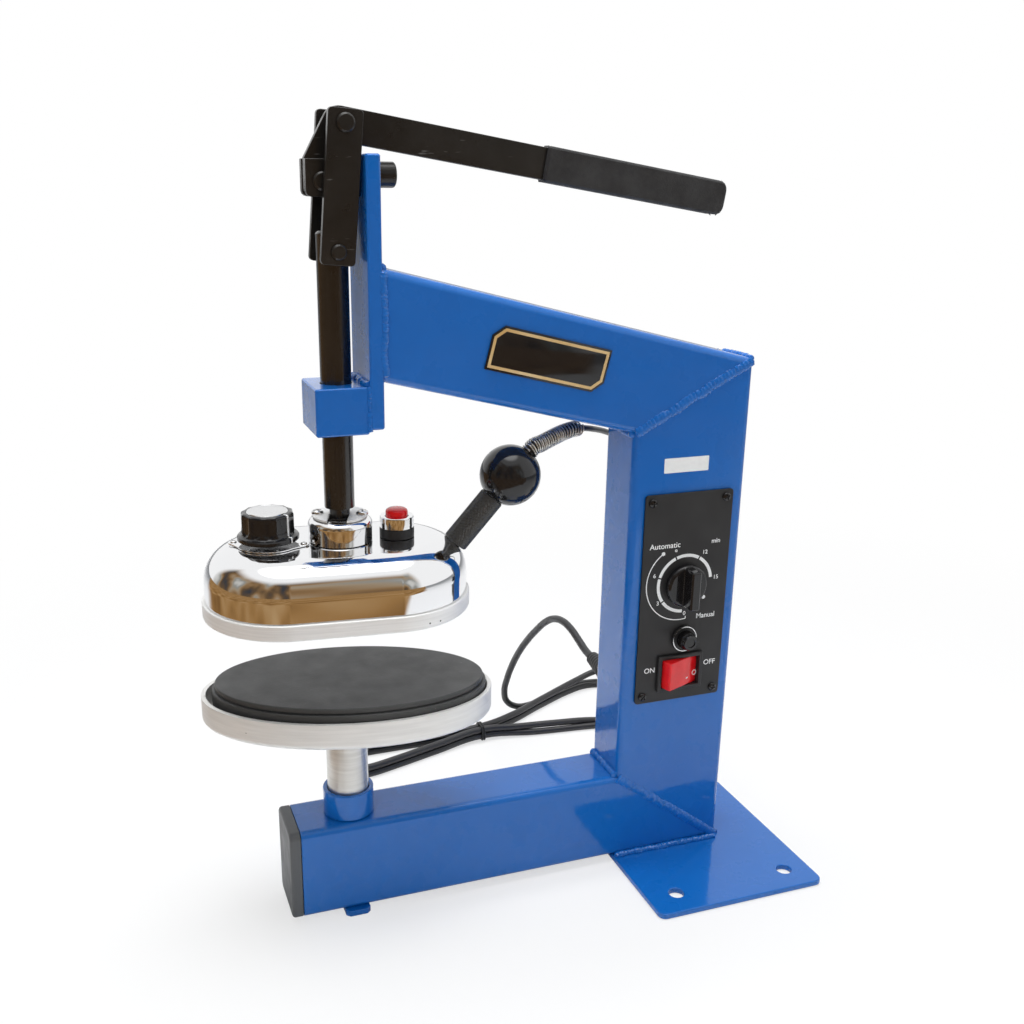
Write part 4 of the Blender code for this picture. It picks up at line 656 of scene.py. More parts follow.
def smooth_points(points, step):
    """Evenly spaced points, about a step apart, on a smooth curve through some points in mm."""
    chain = [Vector(p) for p in points]
    chain = [chain[0] * 2 - chain[1]] + chain + [chain[-1] * 2 - chain[-2]]
    fine = []
    for before, start, end, after in zip(chain, chain[1:], chain[2:], chain[3:]):
        for t in [i / FINE_STEPS for i in range(FINE_STEPS)]:
            fine.append(0.5 * (2 * start + (end - before) * t
                               + (2 * before - 5 * start + 4 * end - after) * t ** 2
                               + (3 * start - before - 3 * end + after) * t ** 3))
    fine.append(chain[-2])
    total = length_of(fine)
    count = max(2, round(total / step))
    even, walked = [fine[0]], 0.0
    for a, b in zip(fine, fine[1:]):
        run = (b - a).length
        while len(even) < count and walked + run >= len(even) * total / count:
            even.append(a.lerp(b, (len(even) * total / count - walked) / run))
        walked += run
    return even + [fine[-1]]


def length_of(points):
    return sum((b - a).length for a, b in zip(points, points[1:]))


def meshed(obj):
    """A curve or text object as a bmesh; the object is removed."""
    mesh = bpy.data.meshes.new_from_object(obj.evaluated_get(bpy.context.evaluated_depsgraph_get()))
    bm = bmesh.new()
    bm.from_mesh(mesh)
    curve = obj.data
    bpy.data.objects.remove(obj)
    bpy.data.curves.remove(curve)
    bpy.data.meshes.remove(mesh)
    return bm


def wire(points, radius, swell=None, resolution=3):
    """Round wire through points in mm, thicker or thinner by a factor at each."""
    data = bpy.data.curves.new("wire", "CURVE")
    data.dimensions = "3D"
    data.bevel_depth = radius * MM
    data.bevel_resolution = resolution
    data.use_fill_caps = True
    line = data.splines.new("POLY")
    line.points.add(len(points) - 1)
    for i, point in enumerate(points):
        line.points[i].co = (*(Vector(point) * MM), 1)
        line.points[i].radius = swell[i] if swell else 1
    obj = bpy.data.objects.new("wire", data)
    scene.collection.objects.link(obj)
    bm = meshed(obj)
    bmesh.ops.remove_doubles(bm, verts=bm.verts, dist=SEAM)
    return bm


print("wire tools ready")

# %% [markdown]
# ## The mains cord
#
# The cord leaves a gland low on the back of the post, arches over and comes down to the bench.
# Its spare length lies behind the machine in a loose hank of two laps, with a tie round its
# middle. It could be simulated, but a hank is laid by hand, and here its points are listed one by
# one: wide folds at both ends, the second lap on or beside the first, and the plug at the end of
# the last run.

# %% Route of the mains cord
CORD_R = 2.7
LOW, HIGH = 2.8, 8.3
GLAND = (-30, 20.2, 122.3)
NEAR_FOLD, FAR_FOLD, FAR_R = (58, 200), (-173.5, 160), 16.6


def fold(centre, radius, start, end, count, z):
    """Points of a level bend, clockwise from one angle to another."""
    steps = [start + (end - start) * i / (count - 1) for i in range(count)]
    return [(centre[0] + radius * math.cos(math.radians(a)),
             centre[1] + radius * math.sin(math.radians(a)), z) for a in steps]


lead = [(-30, 44, 122.3), (-30.2, 57, 123.2), (-30.5, 68, 126.4), (-31, 82, 130.4), (-32, 95, 131.6),
        (-33, 108, 128.6), (-34, 121, 121.5), (-35, 137, 108.5), (-36, 153, 93.5), (-37, 168, 77),
        (-37.5, 181, 60), (-37.5, 192, 43), (-36.5, 200.5, 27.5), (-31.5, 206.6, 14), (-21, 210.4, 6),
        (-8, 214.8, 3.1), (10, 223, LOW), (26, 230.5, LOW)]
first_lap = fold(NEAR_FOLD, 41.2, 115, -96, 13, LOW) + [
    (20, 162.8, LOW), (-20, 167.2, LOW), (-66, 172.3, 4.4), (-110, 161.8, LOW), (-145, 150.6, LOW)]
first_lap += fold(FAR_FOLD, FAR_R, -74, -270, 9, LOW) + [
    (-140, 177.8, LOW), (-100, 177.8, LOW), (-66, 177.8, 4.4), (-36, 190.5, LOW), (0, 210.7, LOW)]
second_lap = fold(NEAR_FOLD, 35.4, 115, -96, 12, LOW) + [
    (24, 166.7, 6.2), (-6, 168.6, 7.5), (-36, 170.6, 8.4), (-66, 172.3, 9.9), (-110, 161.8, HIGH),
    (-145, 150.6, HIGH)]
second_lap += fold(FAR_FOLD, FAR_R, -74, -270, 9, HIGH) + [
    (-140, 177.8, HIGH), (-100, 177.8, HIGH), (-66, 177.8, 9.9), (-36, 190.5, HIGH), (0, 210.7, HIGH),
    (24, 223, 9.4), (46, 231.6, 12), (64, 235.2, 15.6), (82, 236, 17)]
cord_route = lead + first_lap + second_lap

cord_curve = bpy.data.curves.new("mains_cord", "CURVE")
cord_curve.dimensions = "3D"
cord_curve.bevel_depth = CORD_R * MM
cord_curve.bevel_resolution = 5
cord_curve.resolution_u = 6
cord_curve.use_fill_caps = True
line = cord_curve.splines.new("BEZIER")
line.bezier_points.add(len(cord_route) - 1)
for point, place in zip(line.bezier_points, cord_route):
    point.co = Vector(place) * MM
    point.handle_left_type = point.handle_right_type = "AUTO"
mains_cord = bpy.data.objects.new("mains_cord", cord_curve)
scene.collection.objects.link(mains_cord)
mains_cord.data.materials.append(cord_sheath)
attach(mains_cord, "frame")
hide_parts("mains_lead", "mains_hank")

# %% [markdown]
# ## Plug, tie and strain relief
#
# A plug is a turned moulding with a waist for the fingers. The tie is a wire wound twice round
# the four strands. The strain relief is a nut with a ribbed, tapered sleeve, which lets the cord
# bend in a wide curve.

# %% Strain relief
RIB_DEPTH = 0.55


def relief(name, node, length, radius, nut, tip, hole, place, ribs):
    """Hexagonal nut with a tapered, ribbed sleeve round a cord, along +Z of its place."""
    profile = [(hole, 0), (radius * 0.86, 0), (radius * 0.86, nut + 0.6)]
    for i in range(ribs * 4 + 1):
        share = i / (ribs * 4)
        wave = RIB_DEPTH * (0.5 - 0.5 * math.cos(math.tau * share * ribs))
        profile.append((radius * 0.9 + (tip - radius * 0.9) * share - wave,
                        nut + 1.2 + (length - nut - 1.8) * share))
    profile += [(tip - 0.4, length), (hole, length)]
    hexagon = thicken(disc(radius, 6), nut)
    round_edges(hexagon, 0.5 * MM, 2)
    return add_piece(name, moved(join(turned(profile, 40, closed=True), hexagon), place), matt_black,
                     "frame", [node])


gland_relief = relief("mains_relief", "mains_gland", 26, 8.4, 3, 4.7, CORD_R + 0.1,
                      at(*GLAND) @ turn(-90, "X"), 6)
print("strain relief:", len(gland_relief.data.polygons), "faces")

# %% Plug
PLUG = (110, 236, 17)
PRONG_ROOT, PRONG_GAP = 127, 19
COLLARS, COLLAR_PITCH = 5, 1.9

plug_profile = [(0, 17), (14.5, 17), (16.2, 16.4), (16.9, 15), (16.9, 9), (16.2, 8.2), (16.2, 6.8),
                (16.9, 6), (16.9, -4), (16, -6), (12, -10.5), (9, -14), (7.9, -17), (6.4, -20)]
for ring in range(COLLARS):
    top = -20.5 - COLLAR_PITCH * ring
    plug_profile += [(5.9 - 0.1 * ring, top), (5.9 - 0.1 * ring, top - 0.9), (5 - 0.1 * ring, top - 1.1),
                     (5 - 0.1 * ring, top - 1.8)]
plug_profile.append((0, -30))
plug_body = even_shading(add_piece("plug_body", moved(turned(plug_profile, 64), at(*PLUG) @ turn(90, "Y")),
                                   gloss_black, "frame", ["mains_plug"]))
prong_profile = [(0, 19), (1, 19), (1.9, 18.2), (2.3, 16.6), (2.3, 9), (2.05, 8.9), (2.05, 0), (0, 0)]
prongs = [moved(turned(prong_profile, 24), at(PRONG_ROOT, PLUG[1] + side, PLUG[2]), turn(90, "Y"))
          for side in (-PRONG_GAP / 2, PRONG_GAP / 2)]
plug_prongs = add_piece("plug_prongs", join(*prongs), bright_plate, "frame")
print("plug:", len(plug_body.data.polygons), "faces, with", len(prongs), "prongs")

# %% Tie round the hank
TIE_CENTRE = (-68, 175.05, 7.15)
STRAND, TIE_BEND, TIE_WIRE = 2.75, 3.5, 0.75
TIE_POINTS, TIE_CREEP = 34, 0.11

tie_turn = []
for quarter in range(4):
    for degrees in (5, 30, 60, 85):
        c, s = (f(math.radians(degrees + 90 * quarter)) for f in (math.cos, math.sin))
        tie_turn.append((math.copysign(STRAND, c) + TIE_BEND * c,
                         math.copysign(STRAND, s) + TIE_BEND * s))
tie_route = [(TIE_CENTRE[0] + TIE_CREEP * i, TIE_CENTRE[1] + tie_turn[i % len(tie_turn)][0],
              TIE_CENTRE[2] + tie_turn[i % len(tie_turn)][1]) for i in range(TIE_POINTS)]
cord_tie = add_piece("cord_tie", wire(tie_route, TIE_WIRE), matt_black, "frame")
print("tie of", TIE_POINTS, "points, about", round(TIE_POINTS / len(tie_turn)), "turns")

# %% [markdown]
# ## Plain parts keep their CAD shape
#
# Tubes, plates, pins and levers are right in the CAD model already, but their edges are knife
# sharp. Each one is copied, its flat faces are cleaned up and its edges rounded by half a
# millimetre or so. A copy stands for its CAD node in the picture and moves with the same body.

# %% Copies with rounded edges
def rounded_copy(node, finish, edge, segments=2):
    """Copy of a CAD node with its edges rounded by some mm."""
    cad = frame["nodes"][node]
    body = next(name for name, empty in frame["bodies"].items() if empty is cad.parent)
    bm = bmesh.new()
    bm.from_mesh(cad.data)
    bmesh.ops.remove_doubles(bm, verts=bm.verts, dist=SEAM)
    bmesh.ops.dissolve_limit(bm, angle_limit=math.radians(1), verts=bm.verts, edges=bm.edges)
    round_edges(bm, edge * MM, segments, least=CRISP)
    return even_shading(add_piece(f"{node}_rounded", bm, finish, body, [node]))


for node, edge in (("lower_beam", 0.3), ("post", 0.3), ("upper_arm", 0.3), ("base_plate", 0.8),
                   ("front_foot", 0.6), ("front_plate", 0.6), ("guide_block", 0.6), ("platen_collar", 0.6)):
    rounded_copy(node, blue_enamel, edge)
for node, edge in (("pivot_bracket", 0.5), ("bracket_bolt", 0.3), ("bracket_pivot_pin", 0.2),
                   ("lever_pin", 0.2), ("rod_pin", 0.2), ("link_front", 0.5), ("link_back", 0.5),
                   ("link_rivet_front", 0.2), ("link_rivet_back", 0.2), ("press_lever", 0.5),
                   ("handle_stud", 0.2)):
    rounded_copy(node, black_paint, edge)
rounded_copy("press_rod", rod_black, 0.4)
rounded_copy("lever_grip", grip_rubber, 0.9, 3)
rounded_copy("beam_end_cap", cap_plastic, 0.6)
for node in ("control_panel", "rocker_bezel", "fuse_holder"):
    rounded_copy(node, matt_black, 0.25)
rounded_copy("button_switch", matt_black, 0.3)
rounded_copy("timer_knob", gloss_black, 0.7, 3)
rounded_copy("rocker", red_clear, 0.5, 3)
rounded_copy("dial_plate", mirror_chrome, 0.15)
rounded_copy("thermostat_body", bright_plate, 0.4)
rounded_copy("timer_body", bright_plate, 0.4)
rounded_copy("heating_element", white_ceramic, 0.5)

# %% [markdown]
# ## Small changes to the copies
#
# Laid over the photograph, a few copies are off by a millimetre or two. The CAD objects stay as
# they are, and the change is made in the copy: one end of the cap, the front plate and the bolt
# is pulled out, the dial plate is pressed thinner, and the rocker's key is tipped and lifted.

# %% Small changes to the copies
END_REACH = 2 * MM
DIAL_PLATE_SHARE = 0.55
KEY = at(0, -21.3, 137.5) @ turn(16, "Z")
LIFTED_KEY = KEY @ turn(6, "Z") @ at(0, -1.2, 0)


def pull_end(name, axis, by):
    """Move the low or high end of a piece outwards along an axis by some mm."""
    points = [v.co for v in bpy.data.objects[name].data.vertices]
    end = (max if by > 0 else min)(p[axis] for p in points)
    for p in points:
        if abs(p[axis] - end) < END_REACH:
            p[axis] += by * MM


pull_end("beam_end_cap_rounded", 0, -1.8)
pull_end("bracket_bolt_rounded", 0, 4)
pull_end("front_plate_rounded", 2, 2)
dial_points = [v.co for v in bpy.data.objects["dial_plate_rounded"].data.vertices]
dial_low = min(p.z for p in dial_points)
for p in dial_points:
    p.z = dial_low + (p.z - dial_low) * DIAL_PLATE_SHARE
tip_and_lift = LIFTED_KEY @ KEY.inverted()
bpy.data.objects["rocker_rounded"].data.transform(tip_and_lift)
print("rocker's key tipped by", round(math.degrees(tip_and_lift.to_euler().z)), "degrees more")

# %% [markdown]
# ## Weld beads
#
# The box tubes meet in mitres, and paint doesn't hide the weld. A bead is a string of small
# overlapping pools, so its radius swells and shrinks about every 2.5 mm, and it wanders a little
# from its line. Each bead is a wire of that kind, sunk to its middle in the joint. The fine
# scales on it come from a noise whose seed is the clock, unless one is set. It is set here, so
# that the beads come out the same in every run.

# %% Weld beads
BEAD_STEP, POOL = 0.6, 2.5
WANDER, SCALES = 0.8, 0.22
WANDER_PER_MM, SWELL_PER_MM, SCALES_PER_M = 0.11, 0.35, 700
SCALES_SEED = 1
ROUND = (1, 1, 1)


def bead(start, end, radius, flat, seed):
    """Rippled bead between two points in mm, squeezed along an axis where it lies flat."""
    start, end = Vector(start), Vector(end)
    count = max(6, round((end - start).length / BEAD_STEP))
    route, swell = [], []
    for i in range(count):
        place = start.lerp(end, i / count)
        across = noise.noise(place * WANDER_PER_MM + Vector((seed, 0, 0)))
        upward = noise.noise(place * WANDER_PER_MM + Vector((0, seed, 9)))
        route.append(place + Vector((across, upward * 0.3, upward)) * WANDER)
        pool = (len(route) * BEAD_STEP / POOL) % 1
        swell.append((0.76 + 0.3 * math.sqrt(pool)) * (1 + 0.2 * noise.noise(place * SWELL_PER_MM)))
    swell[0] = swell[-1] = 0.35
    middle = sum(route, Vector()) / len(route)
    bm = wire(route, radius, swell, 4)
    for v in bm.verts:
        v.co += noise.noise_vector(v.co * SCALES_PER_M) * SCALES * MM
    return moved(bm, at(*middle), Matrix.Diagonal((*flat, 1)), at(*-middle))


noise.seed_set(SCALES_SEED)
runs = []
for side in (-1, 1):
    face, base, plate, block = 20 * side, 20.6 * side, 20.3 * side, 19 * side
    runs += [((-39.4, face, 298.9), (39.2, face, 340.2), 3.3, (1, 0.36, 1), side),
             ((-39.6, face, 64), (39.4, face, 4.9), 3.3, (1, 0.36, 1), 3 + side),
             ((-39, base, 4.6), (39, base, 4.6), 2.6, (1, 1, 0.9), 11 + side),
             ((-195.3, plate, 341), (-195.3, plate, 398), 2.2, (1, 0.6, 1), 17 + side),
             ((-204, block, 336.2), (-204, block, 310), 1.7, ROUND, 23 + side)]
for x, z, half, radius, seed in ((-40.4, 298.4, 18, 2.6, 29), (-40.4, 65, 18, 2.6, 31),
                                 (39.4, 340.4, 17, 2.2, 37), (40.4, 4.8, 18, 2.4, 41),
                                 (-195.2, 399.6, 18, 2.6, 43), (-204.2, 336.4, 18, 2.2, 47)):
    runs.append(((x, -half, z), (x, half, z), radius, ROUND, seed))
weld_beads = add_piece("weld_beads", join(*[bead(*run) for run in runs]), blue_enamel,
                       "frame")
print("weld beads:", len(runs), "runs,", len(weld_beads.data.polygons), "faces")

# %% [markdown]
# ## The chromed head
#
# The head is one oval shell with a wide round shoulder, drawn from sheet and plated. It is built
# as an outline, extruded and bevelled once. The bevel has many segments, since chrome shows each
# facet as a kink in what it mirrors. The heated plate under it keeps a small, crisp edge. Two tiny
# black dots on its rim are painted shade, for the shade inside two punched dents.

# %% Shell and heated plate
PRESS_X = -218.4
HEAD = at(PRESS_X, 0, 0) @ turn(-5.7, "Z")
SHELL = HEAD @ at(-2.6, 0, 0)
SHELL_LOW, SHELL_TALL, SHOULDER = 212.2, 31.3, 20
HOT_LENGTH, HOT_WIDTH, HOT_LOW, HOT_TALL = 78.6, 50.3, 202.5, 9.4

shell = thicken(stadium(76.7, 48.3, 160), SHELL_TALL)
round_edges(shell, SHOULDER * MM, 14,
            only=lambda e: min(v.co.z for v in e.verts) > (SHELL_TALL - 0.3) * MM)
even_shading(add_piece("head_shell", moved(shell, SHELL, at(0, 0, SHELL_LOW)), mirror_chrome,
                       "head", ["heater_housing"]))

hot = thicken(stadium(HOT_LENGTH, HOT_WIDTH, 160), HOT_TALL)
round_edges(hot, 1 * MM, 3)
even_shading(add_piece("hot_plate", moved(hot, SHELL, at(0, 0, HOT_LOW)), brushed_plate,
                       "head", ["heating_plate"]))

# Painted shade: two tiny flat black dots on the rim stand for the shade inside two punched dents.
punch_shades = []
for angle, z in ((20.8, 205.6), (29.2, 205.3)):
    a = math.radians(angle)
    place = at(HOT_LENGTH - HOT_WIDTH + HOT_WIDTH * math.sin(a), -HOT_WIDTH * math.cos(a), z)
    flat = place @ turn(angle, "Z") @ turn(90, "X")
    punch_shades.append(moved(thicken(disc(0.5, 16), 0.05), SHELL @ flat))
add_piece("punch_marks", join(*punch_shades), matt_black, "head")
print("head shell and plate on the head body")

# %% [markdown]
# ## The swivel cup
#
# The rod's foot turns in a chromed cup, and two half-round plates with a screw each keep it
# there. The cup is one turned profile with a soft shoulder. The screws are turned too, and the
# points of their cross recess are pushed down.

# %% Swivel cup and its screws
RETAINER_TURN, RETAINER_SHARE = 62, 0.88
SCREW_CIRCLE, SCREW_SEAT = 12.9, 259.6

cup = turned([(0, 243.8), (18.2, 243.8), (18.7, 244.3), (18.7, 253.6), (18.5, 254.8), (18, 255.8),
              (17.2, 256.7), (16.2, 257.4), (15.2, 257.7), (14.4, 257.8), (12.4, 257.8), (12, 257.4),
              (12, 247.4), (0, 247.4)], 96)
even_shading(add_piece("cup", moved(cup, HEAD), mirror_chrome, "head", ["swivel_cup"]))


def pan_screw(radius, height, place):
    """Domed screw head with a cross recess, standing on its place."""
    shares = ((1, 0), (1, 0.35), (0.92, 0.65), (0.75, 0.86), (0.6, 0.94), (0.55, 0.95), (0.45, 0.97),
              (0.35, 0.98), (0.22, 1), (0.1, 1))
    bm = turned([(0, 0)] + [(radius * r, height * h) for r, h in shares] + [(0, height)], 48)
    slot_half, slot_end, slot_depth = radius * 0.13 * MM, radius * 0.6 * MM, height * 0.4 * MM
    for v in bm.verts:
        x, y = abs(v.co.x), abs(v.co.y)
        if v.co.z > height * 0.8 * MM and min(x, y) < slot_half and max(x, y) < slot_end:
            v.co.z -= slot_depth
    return moved(bm, place)


smaller = Matrix.Diagonal((RETAINER_SHARE, RETAINER_SHARE, 1, 1))
fit = HEAD @ turn(RETAINER_TURN, "Z") @ smaller @ HEAD.inverted()
for node in ("cup_retainer_front", "cup_retainer_back"):
    rounded_copy(node, brushed_plate, 0.3).data.transform(fit)
screws = []
for n, a in enumerate(math.radians(d) for d in (-14, 166)):
    place = at(SCREW_CIRCLE * math.cos(a), SCREW_CIRCLE * math.sin(a), SCREW_SEAT)
    screws.append(pan_screw(3.6, 2.1, HEAD @ place @ turn(20 * n, "Z")))
add_piece("cup_screws", join(*screws), bright_plate, "head")
print("cup and", len(screws), "screws")

# %% [markdown]
# ## Thermostat knob
#
# The knob is a moulding on a skirt, with twelve shallow scallops and a spun metal cap. They could
# be cut one by one. Here the round body is spun with many sides, and a wave pulls its points in
# between the ribs. The wave fades in above the skirt, higher up near a rib, so that each scallop
# gets a round foot.

# %% Thermostat knob
KNOB = HEAD @ at(-41.5, 0, 0)
MARKER = math.radians(-45.5)
FLUTES, FLUTE_DEPTH, FLUTE_FOOT = 12, 0.95, 251
ARCH, RUN_IN = 2.6, 1.6

profile = [(0, 247.2), (17.3, 247.2), (17.7, 247.6), (17.7, 249.2), (17.2, 249.9), (15.9, 250.3),
           (15.4, 250.8)]
profile += [(15.3, 251.2 + 0.6 * i) for i in range(18)]
profile += [(15.25, 262.2), (15, 262.9), (14.4, 263.3), (13.7, 263.4), (12.2, 263.4), (11.9, 263.1),
            (0, 263.1)]
knob = turned(profile, 240)
for v in knob.verts:
    around = math.hypot(v.co.x, v.co.y)
    if around > 13 * MM and v.co.z > (FLUTE_FOOT - 0.3) * MM:
        flute = abs(math.sin(FLUTES / 2 * (math.atan2(v.co.y, v.co.x) - MARKER))) ** 0.65
        rise = min(1, max(0, (v.co.z / MM - FLUTE_FOOT - ARCH * (1 - flute)) / RUN_IN))
        inward = 1 - FLUTE_DEPTH * MM * flute * rise ** 0.5 / around
        v.co.x *= inward
        v.co.y *= inward
dial_knob = even_shading(add_piece("dial_knob", moved(knob, KNOB), gloss_black,
                                   "thermostat", ["thermostat_knob"]))
cap = turned([(0, 262.9), (11.8, 262.9), (11.8, 263.5), (11.5, 263.85), (10.9, 263.9), (10.6, 263.7),
              (9, 263.62), (0, 263.5)], 120)
even_shading(add_piece("spun_cap", moved(cap, KNOB), bright_plate, "thermostat",
                       ["knob_cap"]))
print("knob:", len(dial_knob.data.polygons), "faces")

# %% Marker, dial marks and dial screws
DIAL_TOP, DIAL_TURN, EAR = 244.46, -16.3, 20.4
marker = join(box(12.4, 15, -0.5, 0.5, 263.1, 263.55), box(15, 15.5, -0.5, 0.5, 251.2, 263.2),
              box(15.2, 17.75, -0.5, 0.5, 250.3, 250.75), box(17.4, 17.85, -0.5, 0.5, 247.6, 250.4))
add_piece("knob_marker", moved(marker, KNOB, Matrix.Rotation(MARKER, 4, "Z")), white_ink,
          "thermostat")

marks = [moved(box(-0.35, 0.35, 15.6, 17.6, DIAL_TOP, DIAL_TOP + 0.06), KNOB @ turn(DIAL_TURN + d, "Z"))
         for d in range(-150, 151, 30)]
add_piece("dial_marks", join(*marks), white_ink, "head")
ears = [pan_screw(1.9, 0.8, KNOB @ turn(DIAL_TURN, "Z") @ at(x, 0, DIAL_TOP)) for x in (-EAR, EAR)]
add_piece("dial_screws", join(*ears), bright_plate, "head")
print("dial:", len(marks), "marks and", len(ears), "screws")

# %% [markdown]
# ## Push button
#
# The button stands in a black ring with a chromed collar, all turned. Its cap has a softly domed
# top. Its foot ends a little above the shell, so the button clears it when it is pressed.

# %% Push button
BUTTON = HEAD @ at(33.3, 0, 0)
BUTTON_R, BUTTON_LIFT = 6.6, 3.5

ring = turned([(6.9, 243.8), (10, 243.8), (10.2, 244), (10.2, 249), (10, 249.3), (6.9, 249.3)],
              closed=True)
add_piece("button_base", moved(ring, BUTTON), matt_black, "head", ["button_ring"])
collar = turned([(6.9, 249.6), (9.8, 249.6), (10, 249.8), (10, 255.6), (9.7, 256.3), (9, 256.6),
                 (7.5, 256.6), (6.9, 256.1)], closed=True)
even_shading(add_piece("button_collar", moved(collar, BUTTON), mirror_chrome, "head",
                       ["button_bezel"]))
low, high = (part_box("push_button")[i][2] / MM for i in (0, 1))
cap = turned([(0, low + BUTTON_LIFT), (BUTTON_R, low + BUTTON_LIFT), (BUTTON_R, high - 3.2),
              (6.55, high - 1.9), (6.2, high - 1.1), (5.4, high - 0.5), (3.6, high - 0.12), (0, high)], 64)
even_shading(add_piece("red_button", moved(cap, BUTTON), red_clear, "button",
                       ["push_button"]))
print("button from", round(low + BUTTON_LIFT, 1), "to", round(high, 1))

# %% [markdown]
# ## Handle and ball
#
# The handle leaves the shoulder of the head at an angle. Its parts are turned, so they are built
# upright and then laid along the handle's own axis. The knurl is made like the flutes: two sets
# of slanting ridges cross on the sleeve, and only points that lie on both stand out, as diamonds.

# %% Ball
LEAN = Vector((0.6477, 0, 0.7619))
HANDLE = HEAD @ at(102.1, 0, 276.9) @ LEAN.to_track_quat("Z", "Y").to_matrix().to_4x4()
BALL_R, BALL_LOW, BALL_HIGH = 18.3, -16.47, 17.7
BALL_ROWS, SEAM_DEPTH = 48, 0.1

arc_from, arc_to = math.asin(BALL_LOW / BALL_R), math.asin(BALL_HIGH / BALL_R)
profile = [(0, BALL_LOW)]
for i in range(BALL_ROWS + 1):
    angle = arc_from + (arc_to - arc_from) * i / BALL_ROWS
    seam = SEAM_DEPTH if i == BALL_ROWS // 2 else 0
    profile.append(((BALL_R - seam) * math.cos(angle), (BALL_R - seam) * math.sin(angle)))
profile += [(3.2, 17.6), (2.9, 17.2), (2.2, 14), (0, 14)]
add_piece("ball", moved(turned(profile, 96), HANDLE), gloss_black, "head",
          ["ball_knob"])
print("handle leans", round(math.degrees(math.acos(LEAN.z))), "degrees")

# %% Knurled sleeve
TEETH, SLEEVE_R, KNURL = 36, 7.35, 0.42
step = math.tau * SLEEVE_R / TEETH / 4

profile = [(0, -16.8), (7, -16.8), (7.5, -17.2)] + [(SLEEVE_R, -17.6 - step * i) for i in range(106)]
profile += [(7.4, -51.7), (7, -52.1), (0, -52.1)]
sleeve = turned(profile, TEETH * 4)
for v in sleeve.verts:
    around = math.hypot(v.co.x, v.co.y)
    if abs(around - SLEEVE_R * MM) < 0.02 * MM:
        across = math.atan2(v.co.y, v.co.x) * TEETH / math.tau
        down = v.co.z / MM / step / 4
        ridges = [abs(2 * ((s + 100) % 1) - 1) for s in (across + down, across - down)]
        outward = 1 + KNURL * MM * min(ridges) / around
        v.co.x *= outward
        v.co.y *= outward
sleeve = add_piece("knurled_sleeve", moved(sleeve, HANDLE), knurl_black, "head",
                   ["handle_sleeve"])
print("sleeve:", len(sleeve.data.polygons), "faces")

# %% [markdown]
# ## Head cable
#
# A thin cable runs from the ball to the back of the post. The head swivels on the rod and the
# rod slides in the frame. The cable is built in two lengths, which meet part way along it.

# %% Head cable
CABLE_R = 1.9
GUARD_END, SPLIT = (-68.2, 3, 299.3), (-39.5, 27.5, 290.9)
mouth = (HANDLE @ (Vector((0, 0, 16.5)) * MM)) / MM
straight = (HANDLE @ (Vector((0, 0, BALL_R + 4)) * MM)) / MM
cable_route = smooth_points([mouth, straight, (-97.7, -10, 294.6), (-88.2, -8, 297.9), (-78.2, -3, 299.5),
                             GUARD_END, (-58, 11, 297.1), (-47.9, 20, 293.9), SPLIT,
                             (-31.5, 34.5, 287.6), (-22, 41.5, 283.5), (-12, 46, 279.3), (-3, 45.6, 276.1),
                             (3.5, 40.6, 274.5), (5, 36.5, 274.3), (5, 30, 274.3)], 2.5)
guard_end, half = (min(range(len(cable_route)), key=lambda i: (cable_route[i] - Vector(place)).length)
                   for place in (GUARD_END, SPLIT))


def cable_half(name, points, node=()):
    obj = add_piece(name, wire(points, CABLE_R, resolution=5), cord_sheath, None, node)
    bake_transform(obj)


near, far = cable_route[:half + 1], cable_route[half:][::-1]
cable_half("head_cable_near", near,
           ["head_cable"])
cable_half("head_cable_far", far)
print("head cable:", round(length_of(near)), "and", round(length_of(far)), "mm")

# %% [markdown]
# ## Spring guard
#
# A wound spring keeps the cable from kinking where it leaves the ball. It is tight there and
# opens along the cable. Its wire follows a helix that is carried along the route: at each small
# step the angle grows by the step over the pitch. A black core under it, tapered at its end,
# stands for the cable's thick sheath.

# %% Spring guard
COIL_R, COIL_TAPER, SPRING_WIRE = 4.9, 0.5, 0.5
CLOSE_PITCH, OPEN_PITCH, OPENS_AT, OPENS_OVER = 1.45, 2.7, 0.55, 0.08
COIL_START, COIL_STEPS = 1.2, 24

coil, walked, angle = [], 0.0, 0.0
guard_length = length_of(cable_route[:guard_end + 1])
for n, (start, end) in enumerate(zip(cable_route[:guard_end], cable_route[1:guard_end + 1])):
    heading = (cable_route[n + 3] - cable_route[max(0, n - 1)]).normalized()
    sideways = heading.cross(Vector((0, 0, 1))).normalized()
    upwards = sideways.cross(heading)
    run = (end - start).length
    for i in range(COIL_STEPS):
        share = (walked + run * i / COIL_STEPS) / guard_length
        if share * guard_length < COIL_START:
            continue
        opened = max(0.0, min(1.0, (share - OPENS_AT) / OPENS_OVER))
        angle += math.tau * run / COIL_STEPS / (CLOSE_PITCH + (OPEN_PITCH - CLOSE_PITCH) * opened)
        out = (sideways * math.cos(angle) + upwards * math.sin(angle)) * (COIL_R - COIL_TAPER * share)
        coil.append(start.lerp(end, i / COIL_STEPS) + out)
    walked += run
add_piece("spring", wire(smooth_points(coil, 0.55), SPRING_WIRE, resolution=2), turned_steel,
          "head", ["spring_guard"])
core = cable_route[:guard_end + 3]
taper = [1.0] * (len(core) - 4) + [0.9, 0.75, 0.62, 0.55]
add_piece("spring_core", wire(core, 3.7, taper, 8), matt_black, "head")
print("spring turns:", round(angle / math.tau))

# %% Gland of the head cable
CABLE_GLAND = (5, 20.2, 274.3)
cable_relief = relief("head_relief", "head_cable_gland", 12, 7, 2.5, 4.2, CABLE_R + 0.1,
                      at(*CABLE_GLAND) @ turn(-90, "X"), 3)
print("gland of the head cable:", len(cable_relief.data.polygons), "faces")

